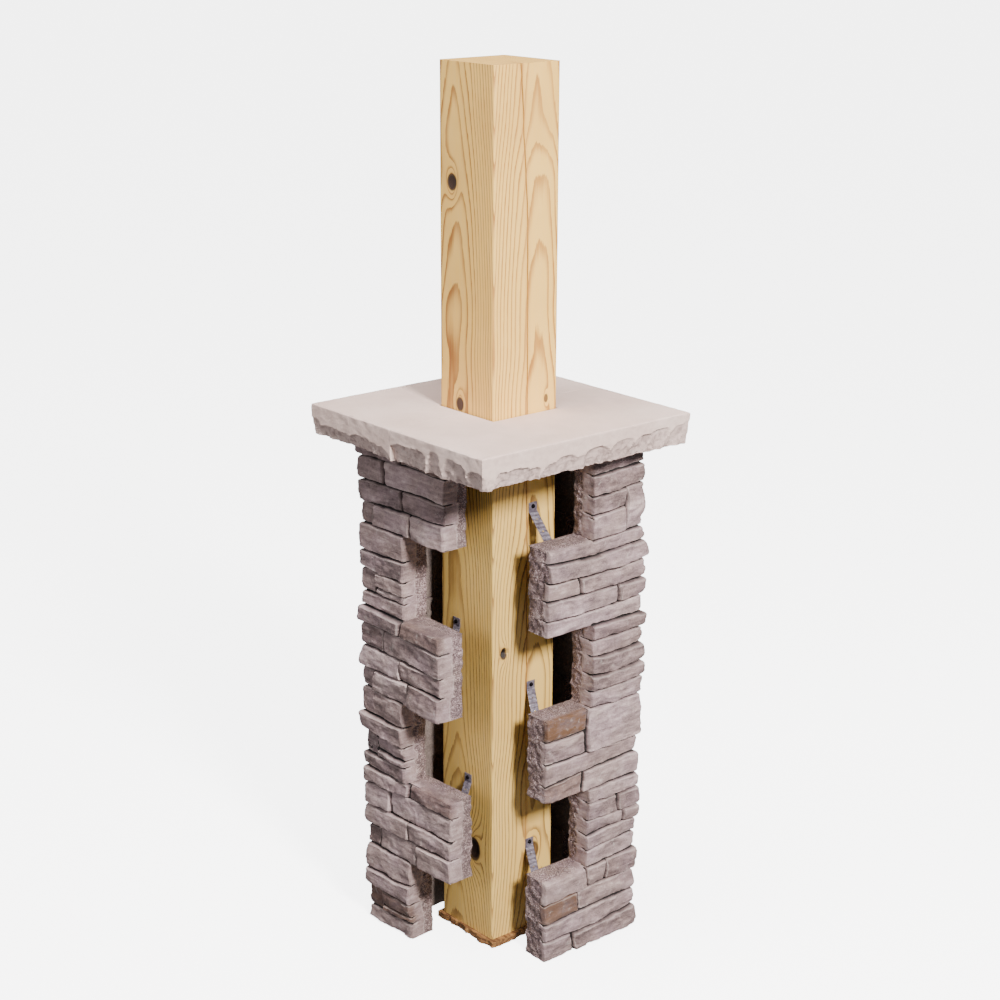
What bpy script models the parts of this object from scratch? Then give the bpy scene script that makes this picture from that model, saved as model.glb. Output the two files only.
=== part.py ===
# A porch column wrap: cast stone corner units and a two-piece cap stone round a square timber post.
#
# Metres, +Z up. The origin is the middle of the column on the floor. The fourth stack of corner units,
# at +X -Y, is left out, so the post, the straps and the insides of the units show there.
# A corner unit is an L in plan. Each leg is long in one half of the unit's height and short in the other,
# so that units on neighbouring corners lock together like fingers.

import math
import random

import bmesh
import bpy
from mathutils import Matrix, Vector

INCH = 0.0254
TOUCH_GAP = 0.0003             # left between pieces that rest on each other
SAME = 1e-6                    # two places closer than this are one point

# Corner units
UNIT_HEIGHT = 12.0 * INCH
TIERS = 3
WRAP_WIDTH = 13.98 * INCH      # across the column, between the nominal stone faces
WALL_THICKNESS = 2.2 * INCH
RIGHT_LEG_LONG = 9.15 * INCH   # from the corner, the right leg as seen from outside
RIGHT_LEG_SHORT = 4.9 * INCH
UPPER_FINGER_GAP = 0.08 * INCH  # between the fingers of two units that meet on one face
LOWER_FINGER_GAP = 0.43 * INCH
LEFT_LEG_LONG = WRAP_WIDTH - RIGHT_LEG_SHORT - LOWER_FINGER_GAP
LEFT_LEG_SHORT = WRAP_WIDTH - RIGHT_LEG_LONG - UPPER_FINGER_GAP
JOINT_DEPTH = 0.3 * INCH       # of the grooves between the stones, below the nominal face
JOINT_HALF_WIDTH = 0.1 * INCH
CORNER_CHAMFER = 0.2 * INCH    # rounds the outer arris of the corner stones
FACE_VARIATION = 0.12 * INCH   # how far a stone stands in or out of its neighbours
FACE_UNEVENNESS = 0.04 * INCH  # of the points of one stone's face
HIDDEN_STONE_WIDTHS = (2.6 * INCH, 5.2 * INCH)
TALL_STONE = 2.5 * INCH        # a course taller than this is split, away from its corner stone

# Cap stone
CAP_OVERHANG = 1.985 * INCH    # past the nominal stone faces
CAP_WIDTH = WRAP_WIDTH + 2 * CAP_OVERHANG
CAP_THICKNESS = 2.22 * INCH
CAP_SEAM_X = -0.33 * INCH
CAP_SEAM_GAP = 0.03 * INCH
CAP_HOLE_CLEARANCE = 0.09 * INCH
CAP_TOP_ARRIS = 0.06 * INCH    # inset of the upper edge
CAP_CHIP_WIDTHS = (1.3 * INCH, 3.1 * INCH)
CAP_CHIP_LINE = 0.5            # share of the thickness above the line where the chips start
CAP_CHIP_RISE = 0.24           # how far, as a share of the thickness, each chip's arch lifts that line
CAP_CHIP_DEPTH = 0.32 * INCH
CAP_EDGE_RISE = 0.34 * INCH    # of the broken lower edge, from the open corner to the corners beside it
CAP_EDGE_WAVE = 0.05 * INCH
CAP_BED_INSET = 0.75 * INCH    # of the flat underside from the widest outline
CAP_POINT_STEP = 1.0 * INCH
CAP_HALVES = {"cap_half_left": (-1, 31), "cap_half_right": (1, 32)}  # side of the seam, and the chips' seed

# Timber post and the board it stands on
POST_WIDTH = 5.5 * INCH
POST_ABOVE_CAP = 22.72 * INCH
POST_CENTRE = (-0.26 * INCH, 0.14 * INCH)
POST_EDGE_RADIUS = 0.14 * INCH
PAD_THICKNESS = 0.4375 * INCH
PAD_OVERHANG = 0.3 * INCH
PAD_RAGGEDNESS = 0.16 * INCH
PAD_POINTS_PER_SIDE = 12
PAD_SEED = 5                   # chooses the torn outline

CAP_BED_HEIGHT = TIERS * (UNIT_HEIGHT + TOUCH_GAP)
CAP_TOP_HEIGHT = CAP_BED_HEIGHT + CAP_THICKNESS
POST_FOOT_HEIGHT = PAD_THICKNESS + TOUCH_GAP
POST_LENGTH = CAP_TOP_HEIGHT + POST_ABOVE_CAP - POST_FOOT_HEIGHT

# Straps and screws
STRAP_WIDTH = 0.72 * INCH
STRAP_THICKNESS = 0.05 * INCH
STRAP_FLAT_END = 0.62 * INCH   # the straight length against the post, round the screw
SCREW_INSET = 0.28 * INCH      # from the strap's upper end to the screw
SCREW_HEAD_RADIUS = 0.15 * INCH
SCREW_HEAD_HEIGHT = 0.09 * INCH
SCREW_CROWN = 0.7              # the crown's radius as a share of the head's

# Stone patterns, in inches from the top of the unit down. Each course has its height, how far its lower line
# is lifted at the corner, half-way and at the leg's end, how far its corner stone stands out, its upright
# joints measured from the corner along the leg that shows, and for a block, by number, the share of its
# height at which a level joint parts it.
PATTERNS = {
    "ledge": [
        (1.20, (-0.10, 0.12, 0.03), 0.25, (4.85,), {}),
        (1.70, (-0.05, 0.08, 0.00), 0.10, (2.90,), {}),
        (1.45, (-0.20, 0.03, 0.10), 0.10, (4.80,), {}),
        (1.65, (0.00, 0.00, 0.00), -0.10, (1.60, 5.60), {}),
        (1.90, (0.00, -0.05, 0.10), 0.05, (), {}),
        (1.35, (0.03, -0.02, -0.05), 0.15, (), {}),
        (1.65, (-0.05, 0.00, 0.05), -0.20, (1.80,), {1: 0.33}),
        (1.10, (0.00, 0.00, 0.00), 0.00, (), {}),
    ],
    "tall_corner": [
        (1.40, (0.05, -0.05, -0.10), 0.00, (), {}),
        (1.45, (0.20, 0.00, -0.15), 0.00, (), {}),
        (3.15, (0.25, 0.15, 0.00), 0.10, (1.80,), {1: 0.58}),
        (0.95, (0.20, -0.05, 0.10), 0.15, (), {}),
        (1.30, (0.20, -0.05, 0.10), 0.30, (), {}),
        (1.30, (0.05, 0.00, 0.00), 0.10, (5.85,), {1: 0.28}),
        (1.30, (0.15, -0.05, -0.05), 0.15, (2.40,), {}),
        (1.15, (0.00, 0.00, 0.00), -0.05, (), {}),
    ],
    "square_block": [
        (1.10, (0.05, 0.00, 0.00), 0.30, (), {}),
        (1.20, (0.10, 0.00, 0.05), 0.15, (), {}),
        (1.30, (0.10, -0.05, 0.05), 0.35, (), {}),
        (1.15, (0.10, 0.05, 0.00), 0.30, (), {}),
        (1.25, (0.00, 0.00, 0.00), 0.15, (), {}),
        (3.15, (0.00, -0.05, -0.05), 0.15, (5.05,), {1: 0.52}),
        (1.40, (0.20, 0.05, -0.30), -0.30, (), {}),
        (1.45, (0.00, 0.00, 0.00), 0.00, (5.30,), {}),
    ],
    "short_stones": [
        (1.05, (0.05, -0.05, 0.00), 0.30, (), {}),
        (1.35, (0.00, -0.03, 0.00), 0.20, (2.00,), {}),
        (1.10, (0.05, 0.10, -0.05), 0.20, (1.50,), {}),
        (1.10, (0.15, 0.05, -0.10), -0.10, (), {}),
        (1.40, (0.25, 0.10, 0.00), -0.20, (), {}),
        (1.60, (0.10, 0.15, -0.15), 0.15, (2.95, 4.75), {}),
        (1.45, (0.05, -0.03, -0.15), -0.10, (5.50,), {}),
        (1.40, (0.20, -0.15, 0.00), 0.10, (), {}),
        (1.55, (0.00, 0.00, 0.00), 0.15, (5.95,), {}),
    ],
}

# The three stacks: the corner's direction from the column's middle, the turn of the unit's right leg from +X,
# the leg whose pattern is given above, and for each tier from the floor its pattern and how the unit was
# set down: its shift in X and in Y and its turn, in inches and degrees.
STACKS = {
    "left": ((-1, -1), 0.0, "right", [
        ("ledge", 0.30, 0.15, 2.0),
        ("ledge", -0.02, 0.21, -2.5),
        ("ledge", -0.02, 0.23, 0.0),
    ]),
    "right": ((1, 1), 180.0, "left", [
        ("short_stones", -0.20, 0.29, 0.0),
        ("square_block", -0.20, 0.33, 0.0),
        ("tall_corner", -0.20, 0.31, 0.0),
    ]),
    "back": ((-1, 1), -90.0, "right", [
        ("square_block", -0.21, 0.21, 0.0),
        ("tall_corner", -0.21, 0.21, 0.0),
        ("short_stones", -0.21, 0.21, 0.0),
    ]),
}
TIER_NAMES = ("lower", "middle", "upper")

# Straps: the unit that the strap holds, by stack and tier from the floor, and the post's face. Then, in inches,
# the screw's place across that face from the post's middle and up from the unit's bed, and where the strap
# meets the inside of the unit's wall: from the unit's corner, and up from its bed.
STRAPS = {
    "strap_right_upper": ("right", 2, "+X", 0.68, 7.80, 6.85, 5.85),
    "strap_right_middle": ("right", 1, "+X", 0.64, 6.97, 7.60, 4.50),
    "strap_right_lower": ("right", 0, "+X", 0.62, 7.05, 7.60, 5.25),
    "strap_left_upper": ("left", 1, "-Y", -1.05, 11.31, 7.90, 9.80),
    "strap_left_lower": ("left", 0, "-Y", 0.15, 12.07, 7.90, 10.70),
}

MATERIALS = {
    "cast_stone": ((0.36, 0.315, 0.305), 0.9, 0.0),
    "cap_stone": ((0.60, 0.55, 0.53), 0.85, 0.0),
    "pine": ((0.62, 0.42, 0.17), 0.6, 0.0),
    "chipboard": ((0.42, 0.20, 0.07), 0.8, 0.0),
    "galvanised_steel": ((0.34, 0.33, 0.36), 0.42, 1.0),
    "dark_screw": ((0.03, 0.028, 0.03), 0.45, 1.0),
}


def material(name):
    made = bpy.data.materials.get(name)
    if made is None:
        made = bpy.data.materials.new(name)
        made.use_nodes = True
        colour, roughness, metallic = MATERIALS[name]
        shader = made.node_tree.nodes["Principled BSDF"]
        shader.inputs["Base Color"].default_value = (*colour, 1.0)
        shader.inputs["Roughness"].default_value = roughness
        shader.inputs["Metallic"].default_value = metallic
    return made


def add_object(name, mesh_data, material_name, matrix=None):
    """Close the mesh's normals outwards and put it in the scene as one named object."""
    bmesh.ops.recalc_face_normals(mesh_data, faces=mesh_data.faces)
    mesh = bpy.data.meshes.new(name)
    mesh_data.to_mesh(mesh)
    mesh_data.free()
    mesh.materials.append(material(material_name))
    made = bpy.data.objects.new(name, mesh)
    if matrix is not None:
        made.matrix_world = matrix
    bpy.context.scene.collection.objects.link(made)
    return made


# Corner units
#
# A unit's stones are laid out on an unfolded sheet: t runs along the wall, negative on the left leg, zero at
# the corner and positive on the right leg, and q runs up from the unit's bed.

def leg_reach(side, upper_half):
    """How far a leg reaches from the corner in one half of the unit's height."""
    if side == "right":
        return RIGHT_LEG_LONG if upper_half else RIGHT_LEG_SHORT
    return LEFT_LEG_SHORT if upper_half else LEFT_LEG_LONG


def course_heights(pattern):
    """The heights of the courses, scaled so that each half of the unit is filled exactly."""
    heights = [course[0] for course in pattern]
    count = 0
    while sum(heights[:count]) < 0.49 * sum(heights):
        count += 1
    half = UNIT_HEIGHT / 2
    upper = [height * half / sum(heights[:count]) for height in heights[:count]]
    lower = [height * half / sum(heights[count:]) for height in heights[count:]]
    return upper + lower, count


def leg_blocks(joints, splits, reach, height):
    """Blocks of one course along one leg, from the corner out: their ends, and each one's level joints."""
    ends = [joint for joint in joints if joint < reach - HIDDEN_STONE_WIDTHS[0] / 4] + [reach]
    return [(end, [height * splits[index]] if index in splits else []) for index, end in enumerate(ends)]


def hidden_joints(leg, upper_half, joints_above, chance):
    """Upright joints of one course along the leg that doesn't show, clear of the joints above and the steps."""
    crowded = joints_above + [leg_reach(leg, True), leg_reach(leg, False)]
    joints, place = [], chance.uniform(*HIDDEN_STONE_WIDTHS)
    while place < leg_reach(leg, upper_half) - HIDDEN_STONE_WIDTHS[0] / 2:
        while any(abs(place - other) < 4 * JOINT_HALF_WIDTH for other in crowded):
            place += JOINT_HALF_WIDTH
        joints.append(place)
        place += chance.uniform(*HIDDEN_STONE_WIDTHS)
    return joints


def lay_stones(pattern_name, shown_leg, seed):
    """All stones of a unit as boxes on the sheet, (t0, t1, q0, q1, face), and the lines between courses."""
    chance = random.Random(seed)
    pattern = PATTERNS[pattern_name]
    heights, upper_count = course_heights(pattern)
    other_leg = "left" if shown_leg == "right" else "right"
    stones = []
    lines = [(UNIT_HEIGHT, (0.0, 0.0, 0.0), True)]
    top = UNIT_HEIGHT
    other_joints = []
    for index, (_, lifts, corner_face, joints, splits) in enumerate(pattern):
        upper_half = index < upper_count
        height = heights[index]
        bottom = top - height if index + 1 < len(pattern) else 0.0
        shown = leg_blocks([joint * INCH for joint in joints], splits, leg_reach(shown_leg, upper_half), height)
        other_joints = hidden_joints(other_leg, upper_half, other_joints, chance)
        parted = {block: 0.5 for block in range(1, 9)} if height > TALL_STONE else {}
        hidden = leg_blocks(other_joints, parted, leg_reach(other_leg, upper_half), height)
        right, left = (shown, hidden) if shown_leg == "right" else (hidden, shown)
        stones.append((-left[0][0], right[0][0], bottom, top, corner_face * INCH))
        for blocks, sign in ((right, 1), (left, -1)):
            for (start, _), (end, level_joints) in zip(blocks, blocks[1:]):
                levels = [bottom] + [bottom + rise for rise in level_joints] + [top]
                for low, high in zip(levels, levels[1:]):
                    face = chance.uniform(-FACE_VARIATION, FACE_VARIATION)
                    ends = sorted((sign * start, sign * end))
                    stones.append((ends[0], ends[1], low, high, face))
        lines.append((bottom, tuple(lift * INCH for lift in lifts), upper_half))
        top = bottom
    return stones, lines


def line_lift(line, t, shown_leg):
    """How far a course line is lifted at t: a parabola through its three lifts, level on the hidden leg's end."""
    _, (corner, middle, end), upper_half = line
    side = "right" if t >= 0 else "left"
    share = min(abs(t) / leg_reach(side, upper_half), 1.0)
    if abs(line[0] - UNIT_HEIGHT / 2) < SAME:
        share = min(abs(t) / min(leg_reach(side, True), leg_reach(side, False)), 1.0)
    if side != shown_leg:
        return corner * (1 - share)
    return corner * (1 - share) * (1 - 2 * share) + 4 * middle * share * (1 - share) + end * share * (2 * share - 1)


def sheet_height(t, q, lines, shown_leg):
    """The real height of a point of the sheet, between the lifted lines above and below it."""
    for above, below in zip(lines, lines[1:]):
        if below[0] - SAME <= q <= above[0] + SAME:
            share = (q - below[0]) / (above[0] - below[0])
            lift_above = line_lift(above, t, shown_leg)
            lift_below = line_lift(below, t, shown_leg)
            return q + share * lift_above + (1 - share) * lift_below
    return q


def fold(t, face):
    """Fold the sheet round the corner: x along the right leg, y along the left one, face out of the wall."""
    return (t if t > 0 else 0.0) - (face if t <= 0 else 0.0), (-t if t < 0 else 0.0) - (face if t >= 0 else 0.0)


def outline_points(stone, corners):
    """Every corner of any stone that lies on this stone's outline, in order round it."""
    t0, t1, q0, q1, _ = stone
    level = sorted(p for p in corners if t0 - SAME < p[0] < t1 + SAME)
    upright = sorted((p for p in corners if q0 + SAME < p[1] < q1 - SAME), key=lambda p: p[1])
    bottom = [p for p in level if abs(p[1] - q0) < SAME]
    right = [p for p in upright if abs(p[0] - t1) < SAME]
    top = [p for p in level if abs(p[1] - q1) < SAME]
    left = [p for p in upright if abs(p[0] - t0) < SAME]
    return bottom + right + top[::-1] + left[::-1]


def build_unit(name, pattern_name, shown_leg, seed, matrix):
    stones, lines = lay_stones(pattern_name, shown_leg, seed)
    chance = random.Random(seed)
    corners = {}
    for t0, t1, q0, q1, _ in stones:
        for t in (t0, t1, 0.0):
            for q in (q0, q1):
                if t0 <= t <= t1:
                    corners[(round(t, 7), round(q, 7))] = None
    corners = sorted(corners)
    unit = bmesh.new()
    base = {}
    for t, q in corners:
        x, y = fold(t, -JOINT_DEPTH)
        base[(t, q)] = unit.verts.new((x, y, sheet_height(t, q, lines, shown_leg)))

    def raised(t, q, face):
        x, y = fold(t, face + chance.uniform(-FACE_UNEVENNESS, FACE_UNEVENNESS))
        return unit.verts.new((x, y, sheet_height(t, q, lines, shown_leg)))

    for stone in stones:
        t0, t1, q0, q1, face = stone
        outline = outline_points(stone, corners)
        chamfer_reach = CORNER_CHAMFER + max(-face, 0.0)
        rings = []
        for t, q in outline:
            ring_q = q + (JOINT_HALF_WIDTH if q - q0 < SAME else 0) - (JOINT_HALF_WIDTH if q1 - q < SAME else 0)
            ring_t = t + (JOINT_HALF_WIDTH if t - t0 < SAME else 0) - (JOINT_HALF_WIDTH if t1 - t < SAME else 0)
            if t0 < 0 < t1 and abs(t) < SAME:
                order = (-1, 1) if q - q0 < SAME else (1, -1)
                rings.append([(side, raised(side * chamfer_reach, ring_q, face)) for side in order])
            else:
                rings.append([(math.copysign(1, ring_t), raised(ring_t, ring_q, face))])
        for index in range(len(outline)):
            after = (index + 1) % len(outline)
            unit.faces.new((base[outline[index]], base[outline[after]], rings[after][0][1], rings[index][-1][1]))
            if len(rings[index]) == 2:
                unit.faces.new((base[outline[index]], rings[index][1][1], rings[index][0][1]))
        ring = [point for points in rings for point in points]
        if t0 < 0 < t1:
            unit.faces.new([vert for side, vert in ring if side < 0])
            unit.faces.new([vert for side, vert in ring if side > 0])
            folds = [vert for points in rings if len(points) == 2 for _, vert in points]
            unit.faces.new((folds[0], folds[1], folds[2], folds[3]))
        else:
            unit.faces.new([vert for _, vert in ring])
    close_wall(unit, base, corners)
    return add_object(name, unit, "cast_stone", matrix)


def close_wall(unit, base, corners):
    """Add the flat inside of the wall, and its beds, steps and ends, to the sheet of stones."""
    half, full, depth = UNIT_HEIGHT / 2, UNIT_HEIGHT, WALL_THICKNESS
    inside = {}

    def inner(t, z):
        if (t, z) not in inside:
            place = (depth, depth) if t == 0 else ((t, depth) if t > 0 else (depth, -t))
            inside[(t, z)] = unit.verts.new((*place, z))
        return inside[(t, z)]

    def border(test, key):
        return [base[p] for p in sorted((p for p in corners if test(p)), key=key)]

    def near(value, other):
        return abs(value - other) < SAME

    for side, sign in (("right", 1), ("left", -1)):
        upper, lower = sign * leg_reach(side, True), sign * leg_reach(side, False)
        short_end, long_end = sorted((upper, lower), key=abs)
        long_bed, short_bed = (full, 0.0) if long_end == upper else (0.0, full)
        unit.faces.new([inner(0, half), inner(0, long_bed), inner(long_end, long_bed), inner(long_end, half),
                        inner(short_end, half)])
        unit.faces.new([inner(0, half), inner(0, short_bed), inner(short_end, short_bed), inner(short_end, half)])
        for end, low, high in ((upper, half, full), (lower, 0.0, half)):
            edge = border(lambda p: near(p[0], end) and low - SAME < p[1] < high + SAME, lambda p: p[1])
            unit.faces.new(edge + [inner(end, high), inner(end, low)])
        near_end, far_end = sorted((upper, lower))
        edge = border(lambda p: near(p[1], half) and near_end - SAME < p[0] < far_end + SAME, lambda p: p[0])
        unit.faces.new(edge + [inner(far_end, half), inner(near_end, half)])
    for z, upper_half in ((0.0, False), (full, True)):
        left, right = -leg_reach("left", upper_half), leg_reach("right", upper_half)
        edge = border(lambda p: near(p[1], z), lambda p: p[0])
        unit.faces.new(edge + [inner(right, z), inner(0, z), inner(left, z)])


def unit_matrix(stack, tier):
    """Where a unit stands: its outer corner at the bed is the origin, its right leg runs along +X."""
    direction, turn, _, settings = STACKS[stack]
    _, shift_x, shift_y, unit_turn = settings[tier]
    corner = Vector((direction[0] * WRAP_WIDTH / 2 + shift_x * INCH,
                     direction[1] * WRAP_WIDTH / 2 + shift_y * INCH,
                     tier * (UNIT_HEIGHT + TOUCH_GAP)))
    return Matrix.Translation(corner) @ Matrix.Rotation(math.radians(turn + unit_turn), 4, "Z")


def build_units():
    for number, (stack, (_, _, shown_leg, settings)) in enumerate(STACKS.items()):
        for tier in range(TIERS):
            name = f"{stack}_corner_{TIER_NAMES[tier]}"
            build_unit(name, settings[tier][0], shown_leg, 10 * (1 + number) + tier, unit_matrix(stack, tier))


# Cap stone

def chip_profile(length, chance):
    """Points along a cap edge: the distance, and how far up its chip's arch it stands, from 0 to 1."""
    borders = [0.0]
    while borders[-1] < length - CAP_CHIP_WIDTHS[1]:
        borders.append(borders[-1] + chance.uniform(*CAP_CHIP_WIDTHS))
    borders.append(length)
    count = max(4, round(length / CAP_POINT_STEP))
    points = []
    for index in range(count + 1):
        place = length * index / count
        chip = max(number for number, border in enumerate(borders[:-1]) if border <= place)
        across = (place - borders[chip]) / (borders[chip + 1] - borders[chip])
        points.append((place, math.sin(math.pi * across)))
    return points


def build_cap_half(name, side, seed):
    """One half of the cap: an outline from the seam round three edges and back along the post's hole."""
    chance = random.Random(seed)
    half = CAP_WIDTH / 2
    bed, top = CAP_BED_HEIGHT, CAP_TOP_HEIGHT
    open_corner = Vector((half, -half))
    seam = CAP_SEAM_X + side * CAP_SEAM_GAP / 2
    hole = POST_WIDTH / 2 + CAP_HOLE_CLEARANCE
    outer_x = side * half
    stops = [(seam, -side * half), (outer_x, -side * half), (outer_x, side * half), (seam, side * half)]
    cap = bmesh.new()
    levels = [[], [], [], []]
    for leg, (start, end) in enumerate(zip(stops, stops[1:])):
        start, end = Vector(start), Vector(end)
        along = (end - start).normalized()
        out = Vector((along.y, -along.x))
        points = chip_profile((end - start).length, chance)
        for index, (place, arch) in enumerate(points[:-1] if leg < 2 else points):
            mitre = Vector((0.0, 0.0))
            if index == 0 and leg > 0:
                mitre = previous_out
            spot = start + along * place
            depth = CAP_CHIP_DEPTH * chance.uniform(0.35, 1.0)
            rise = CAP_EDGE_RISE * min((spot - open_corner).length / CAP_WIDTH, 1.0)
            low_lift = rise + chance.uniform(0.0, CAP_EDGE_WAVE)
            line = top - CAP_THICKNESS * (1 - CAP_CHIP_LINE - CAP_CHIP_RISE * (arch - 0.5))
            for level, (inset, z) in enumerate(((CAP_TOP_ARRIS, top), (0.0, line), (depth, bed + low_lift),
                                                (CAP_BED_INSET, bed))):
                place_2d = spot - (out + mitre) * inset
                levels[level].append(cap.verts.new((place_2d.x, place_2d.y, z)))
        previous_out = out
    for upper, lower in zip(levels, levels[1:]):
        for index in range(len(upper) - 1):
            cap.faces.new((upper[index], upper[index + 1], lower[index + 1], lower[index]))
    centre_x, centre_y = POST_CENTRE
    hole_x = centre_x + side * hole
    inner_outline = [(seam, centre_y + side * hole), (hole_x, centre_y + side * hole),
                     (hole_x, centre_y - side * hole), (seam, centre_y - side * hole)]
    upper_inner = [cap.verts.new((x, y, top)) for x, y in inner_outline]
    lower_inner = [cap.verts.new((x, y, bed)) for x, y in inner_outline]
    for index in range(3):
        cap.faces.new((upper_inner[index], upper_inner[index + 1], lower_inner[index + 1], lower_inner[index]))
    cap.faces.new(levels[0] + upper_inner)
    cap.faces.new(levels[3] + lower_inner)
    cap.faces.new([level[-1] for level in levels] + [lower_inner[0], upper_inner[0]])
    cap.faces.new([level[0] for level in levels] + [lower_inner[3], upper_inner[3]])
    return add_object(name, cap, "cap_stone")


# Post and board

def build_post():
    post = bmesh.new()
    bmesh.ops.create_cube(post, size=1.0)
    bmesh.ops.scale(post, vec=(POST_WIDTH, POST_WIDTH, POST_LENGTH), verts=post.verts)
    bmesh.ops.translate(post, vec=(0, 0, POST_LENGTH / 2), verts=post.verts)
    upright = [edge for edge in post.edges if abs(edge.verts[0].co.z - edge.verts[1].co.z) > POST_LENGTH / 2]
    bmesh.ops.bevel(post, geom=upright, offset=POST_EDGE_RADIUS, segments=3, profile=0.5, affect="EDGES")
    foot = Vector((*POST_CENTRE, POST_FOOT_HEIGHT))
    return add_object("timber_post", post, "pine", Matrix.Translation(foot))


def build_pad():
    """The board under the post: a square with a torn outline, flat above and below."""
    chance = random.Random(PAD_SEED)
    reach = POST_WIDTH / 2 + PAD_OVERHANG
    corners = [Vector((-reach, -reach)), Vector((reach, -reach)), Vector((reach, reach)), Vector((-reach, reach))]
    outline = []
    for start, end in zip(corners, corners[1:] + corners[:1]):
        out = Vector((end.y - start.y, start.x - end.x)).normalized()
        for index in range(PAD_POINTS_PER_SIDE):
            spot = start.lerp(end, index / PAD_POINTS_PER_SIDE)
            outline.append(spot + out * chance.uniform(-PAD_RAGGEDNESS, PAD_RAGGEDNESS))
    pad = bmesh.new()
    lower = [pad.verts.new((point.x, point.y, 0.0)) for point in outline]
    upper = [pad.verts.new((point.x, point.y, PAD_THICKNESS)) for point in outline]
    for index in range(len(outline)):
        after = (index + 1) % len(outline)
        pad.faces.new((lower[index], lower[after], upper[after], upper[index]))
    pad.faces.new(lower)
    pad.faces.new(upper)
    return add_object("chipboard_pad", pad, "chipboard", Matrix.Translation((*POST_CENTRE, 0.0)))


# Straps and screws

def strap_frame(face):
    """A face of the post: its middle at floor level, the way across it and the way out of it."""
    centre = Vector((*POST_CENTRE, 0.0))
    if face == "+X":
        return centre + Vector((POST_WIDTH / 2, 0, 0)), Vector((0, 1, 0)), Vector((1, 0, 0))
    return centre + Vector((0, -POST_WIDTH / 2, 0)), Vector((1, 0, 0)), Vector((0, -1, 0))


def strap_foot(stack, tier, along, height):
    """The point of a unit's wall that a strap meets, and the way out of the wall's inside there."""
    matrix = unit_matrix(stack, tier)
    lead = WALL_THICKNESS + TOUCH_GAP
    place, inward = (along * INCH, lead), Vector((0, 1, 0))
    if STACKS[stack][2] == "left":
        place, inward = (lead, along * INCH), Vector((1, 0, 0))
    return matrix @ Vector((*place, height * INCH)), matrix.to_3x3() @ inward


def build_strap(name, stack, tier, face, across_post, screw_height, along_wall, foot_height):
    """A strip down the post past its screw, then out to the inside of a unit's wall, cut flush with it."""
    origin, across, out = strap_frame(face)
    stand_off = TOUCH_GAP + STRAP_THICKNESS / 2
    height = unit_matrix(stack, tier).translation.z + screw_height * INCH
    screw = origin + across * (across_post * INCH) + out * stand_off + Vector((0, 0, height))
    top = screw + Vector((0, 0, SCREW_INSET))
    bend = top - Vector((0, 0, STRAP_FLAT_END))
    foot, inward = strap_foot(stack, tier, along_wall, foot_height)
    slope = (foot - bend).normalized()
    strap = bmesh.new()
    rings = []
    side_ways = across * STRAP_WIDTH / 2
    normal = slope.cross(across).normalized()
    normal = normal if normal.dot(out) > 0 else -normal
    mitre = (normal + out).normalized() * STRAP_THICKNESS / 2 / (normal + out).normalized().dot(out)
    up_the_wall = Vector((0, 0, 1)) * STRAP_THICKNESS / 2 / max(abs(normal.z), 0.2)
    wall_side = (across - inward * across.dot(inward)).normalized() * STRAP_WIDTH / 2
    for point, sideways, lift in ((top, side_ways, out * STRAP_THICKNESS / 2), (bend, side_ways, mitre),
                                  (foot, wall_side, up_the_wall)):
        rings.append([strap.verts.new(point + corner) for corner in
                      (-sideways - lift, sideways - lift, sideways + lift, -sideways + lift)])
    for first, second in zip(rings, rings[1:]):
        for index in range(4):
            after = (index + 1) % 4
            strap.faces.new((first[index], first[after], second[after], second[index]))
    strap.faces.new(rings[0])
    strap.faces.new(rings[-1])
    add_object(name, strap, "galvanised_steel")
    build_screw(name.replace("strap", "screw"), screw + out * (STRAP_THICKNESS / 2 + TOUCH_GAP), out)


def build_screw(name, seat, out):
    head = bmesh.new()
    bmesh.ops.create_cone(head, cap_ends=True, segments=10, radius1=SCREW_HEAD_RADIUS,
                          radius2=SCREW_HEAD_RADIUS * SCREW_CROWN, depth=SCREW_HEAD_HEIGHT)
    turn = out.to_track_quat("Z", "Y").to_matrix().to_4x4()
    centre = seat + out * SCREW_HEAD_HEIGHT / 2
    add_object(name, head, "dark_screw", Matrix.Translation(centre) @ turn)


def main():
    for old in list(bpy.data.objects):
        bpy.data.objects.remove(old)
    build_units()
    for name, (side, seed) in CAP_HALVES.items():
        build_cap_half(name, side, seed)
    build_post()
    build_pad()
    for name, places in STRAPS.items():
        build_strap(name, *places)


main()
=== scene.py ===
# The looks of a porch column wrap: cast stone corner units, a split cap stone, a timber post and its straps.
# Shapes are worked out in inches and put into their meshes in metres. +Z is up, the open corner faces +X -Y.

import math
import random

import bpy
import numpy as np
from mathutils import Matrix, Vector


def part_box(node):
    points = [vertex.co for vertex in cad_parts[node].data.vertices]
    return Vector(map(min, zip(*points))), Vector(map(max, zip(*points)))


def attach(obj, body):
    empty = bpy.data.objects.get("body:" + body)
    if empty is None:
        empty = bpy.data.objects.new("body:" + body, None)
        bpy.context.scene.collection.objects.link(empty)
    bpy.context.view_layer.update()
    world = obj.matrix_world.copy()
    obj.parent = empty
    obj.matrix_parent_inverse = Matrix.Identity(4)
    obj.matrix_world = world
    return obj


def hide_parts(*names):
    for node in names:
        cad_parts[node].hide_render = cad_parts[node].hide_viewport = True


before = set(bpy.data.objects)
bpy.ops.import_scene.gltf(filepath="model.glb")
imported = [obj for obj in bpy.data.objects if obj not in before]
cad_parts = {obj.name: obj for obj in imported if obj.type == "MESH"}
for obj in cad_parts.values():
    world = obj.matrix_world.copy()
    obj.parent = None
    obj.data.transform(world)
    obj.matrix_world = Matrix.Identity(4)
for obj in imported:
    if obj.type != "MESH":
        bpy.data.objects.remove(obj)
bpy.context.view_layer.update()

inch = 0.0254
touchGap = 0.0003 / inch    # left between pieces that rest on each other
tiny = 1e-6


# Small tools for relief

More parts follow.
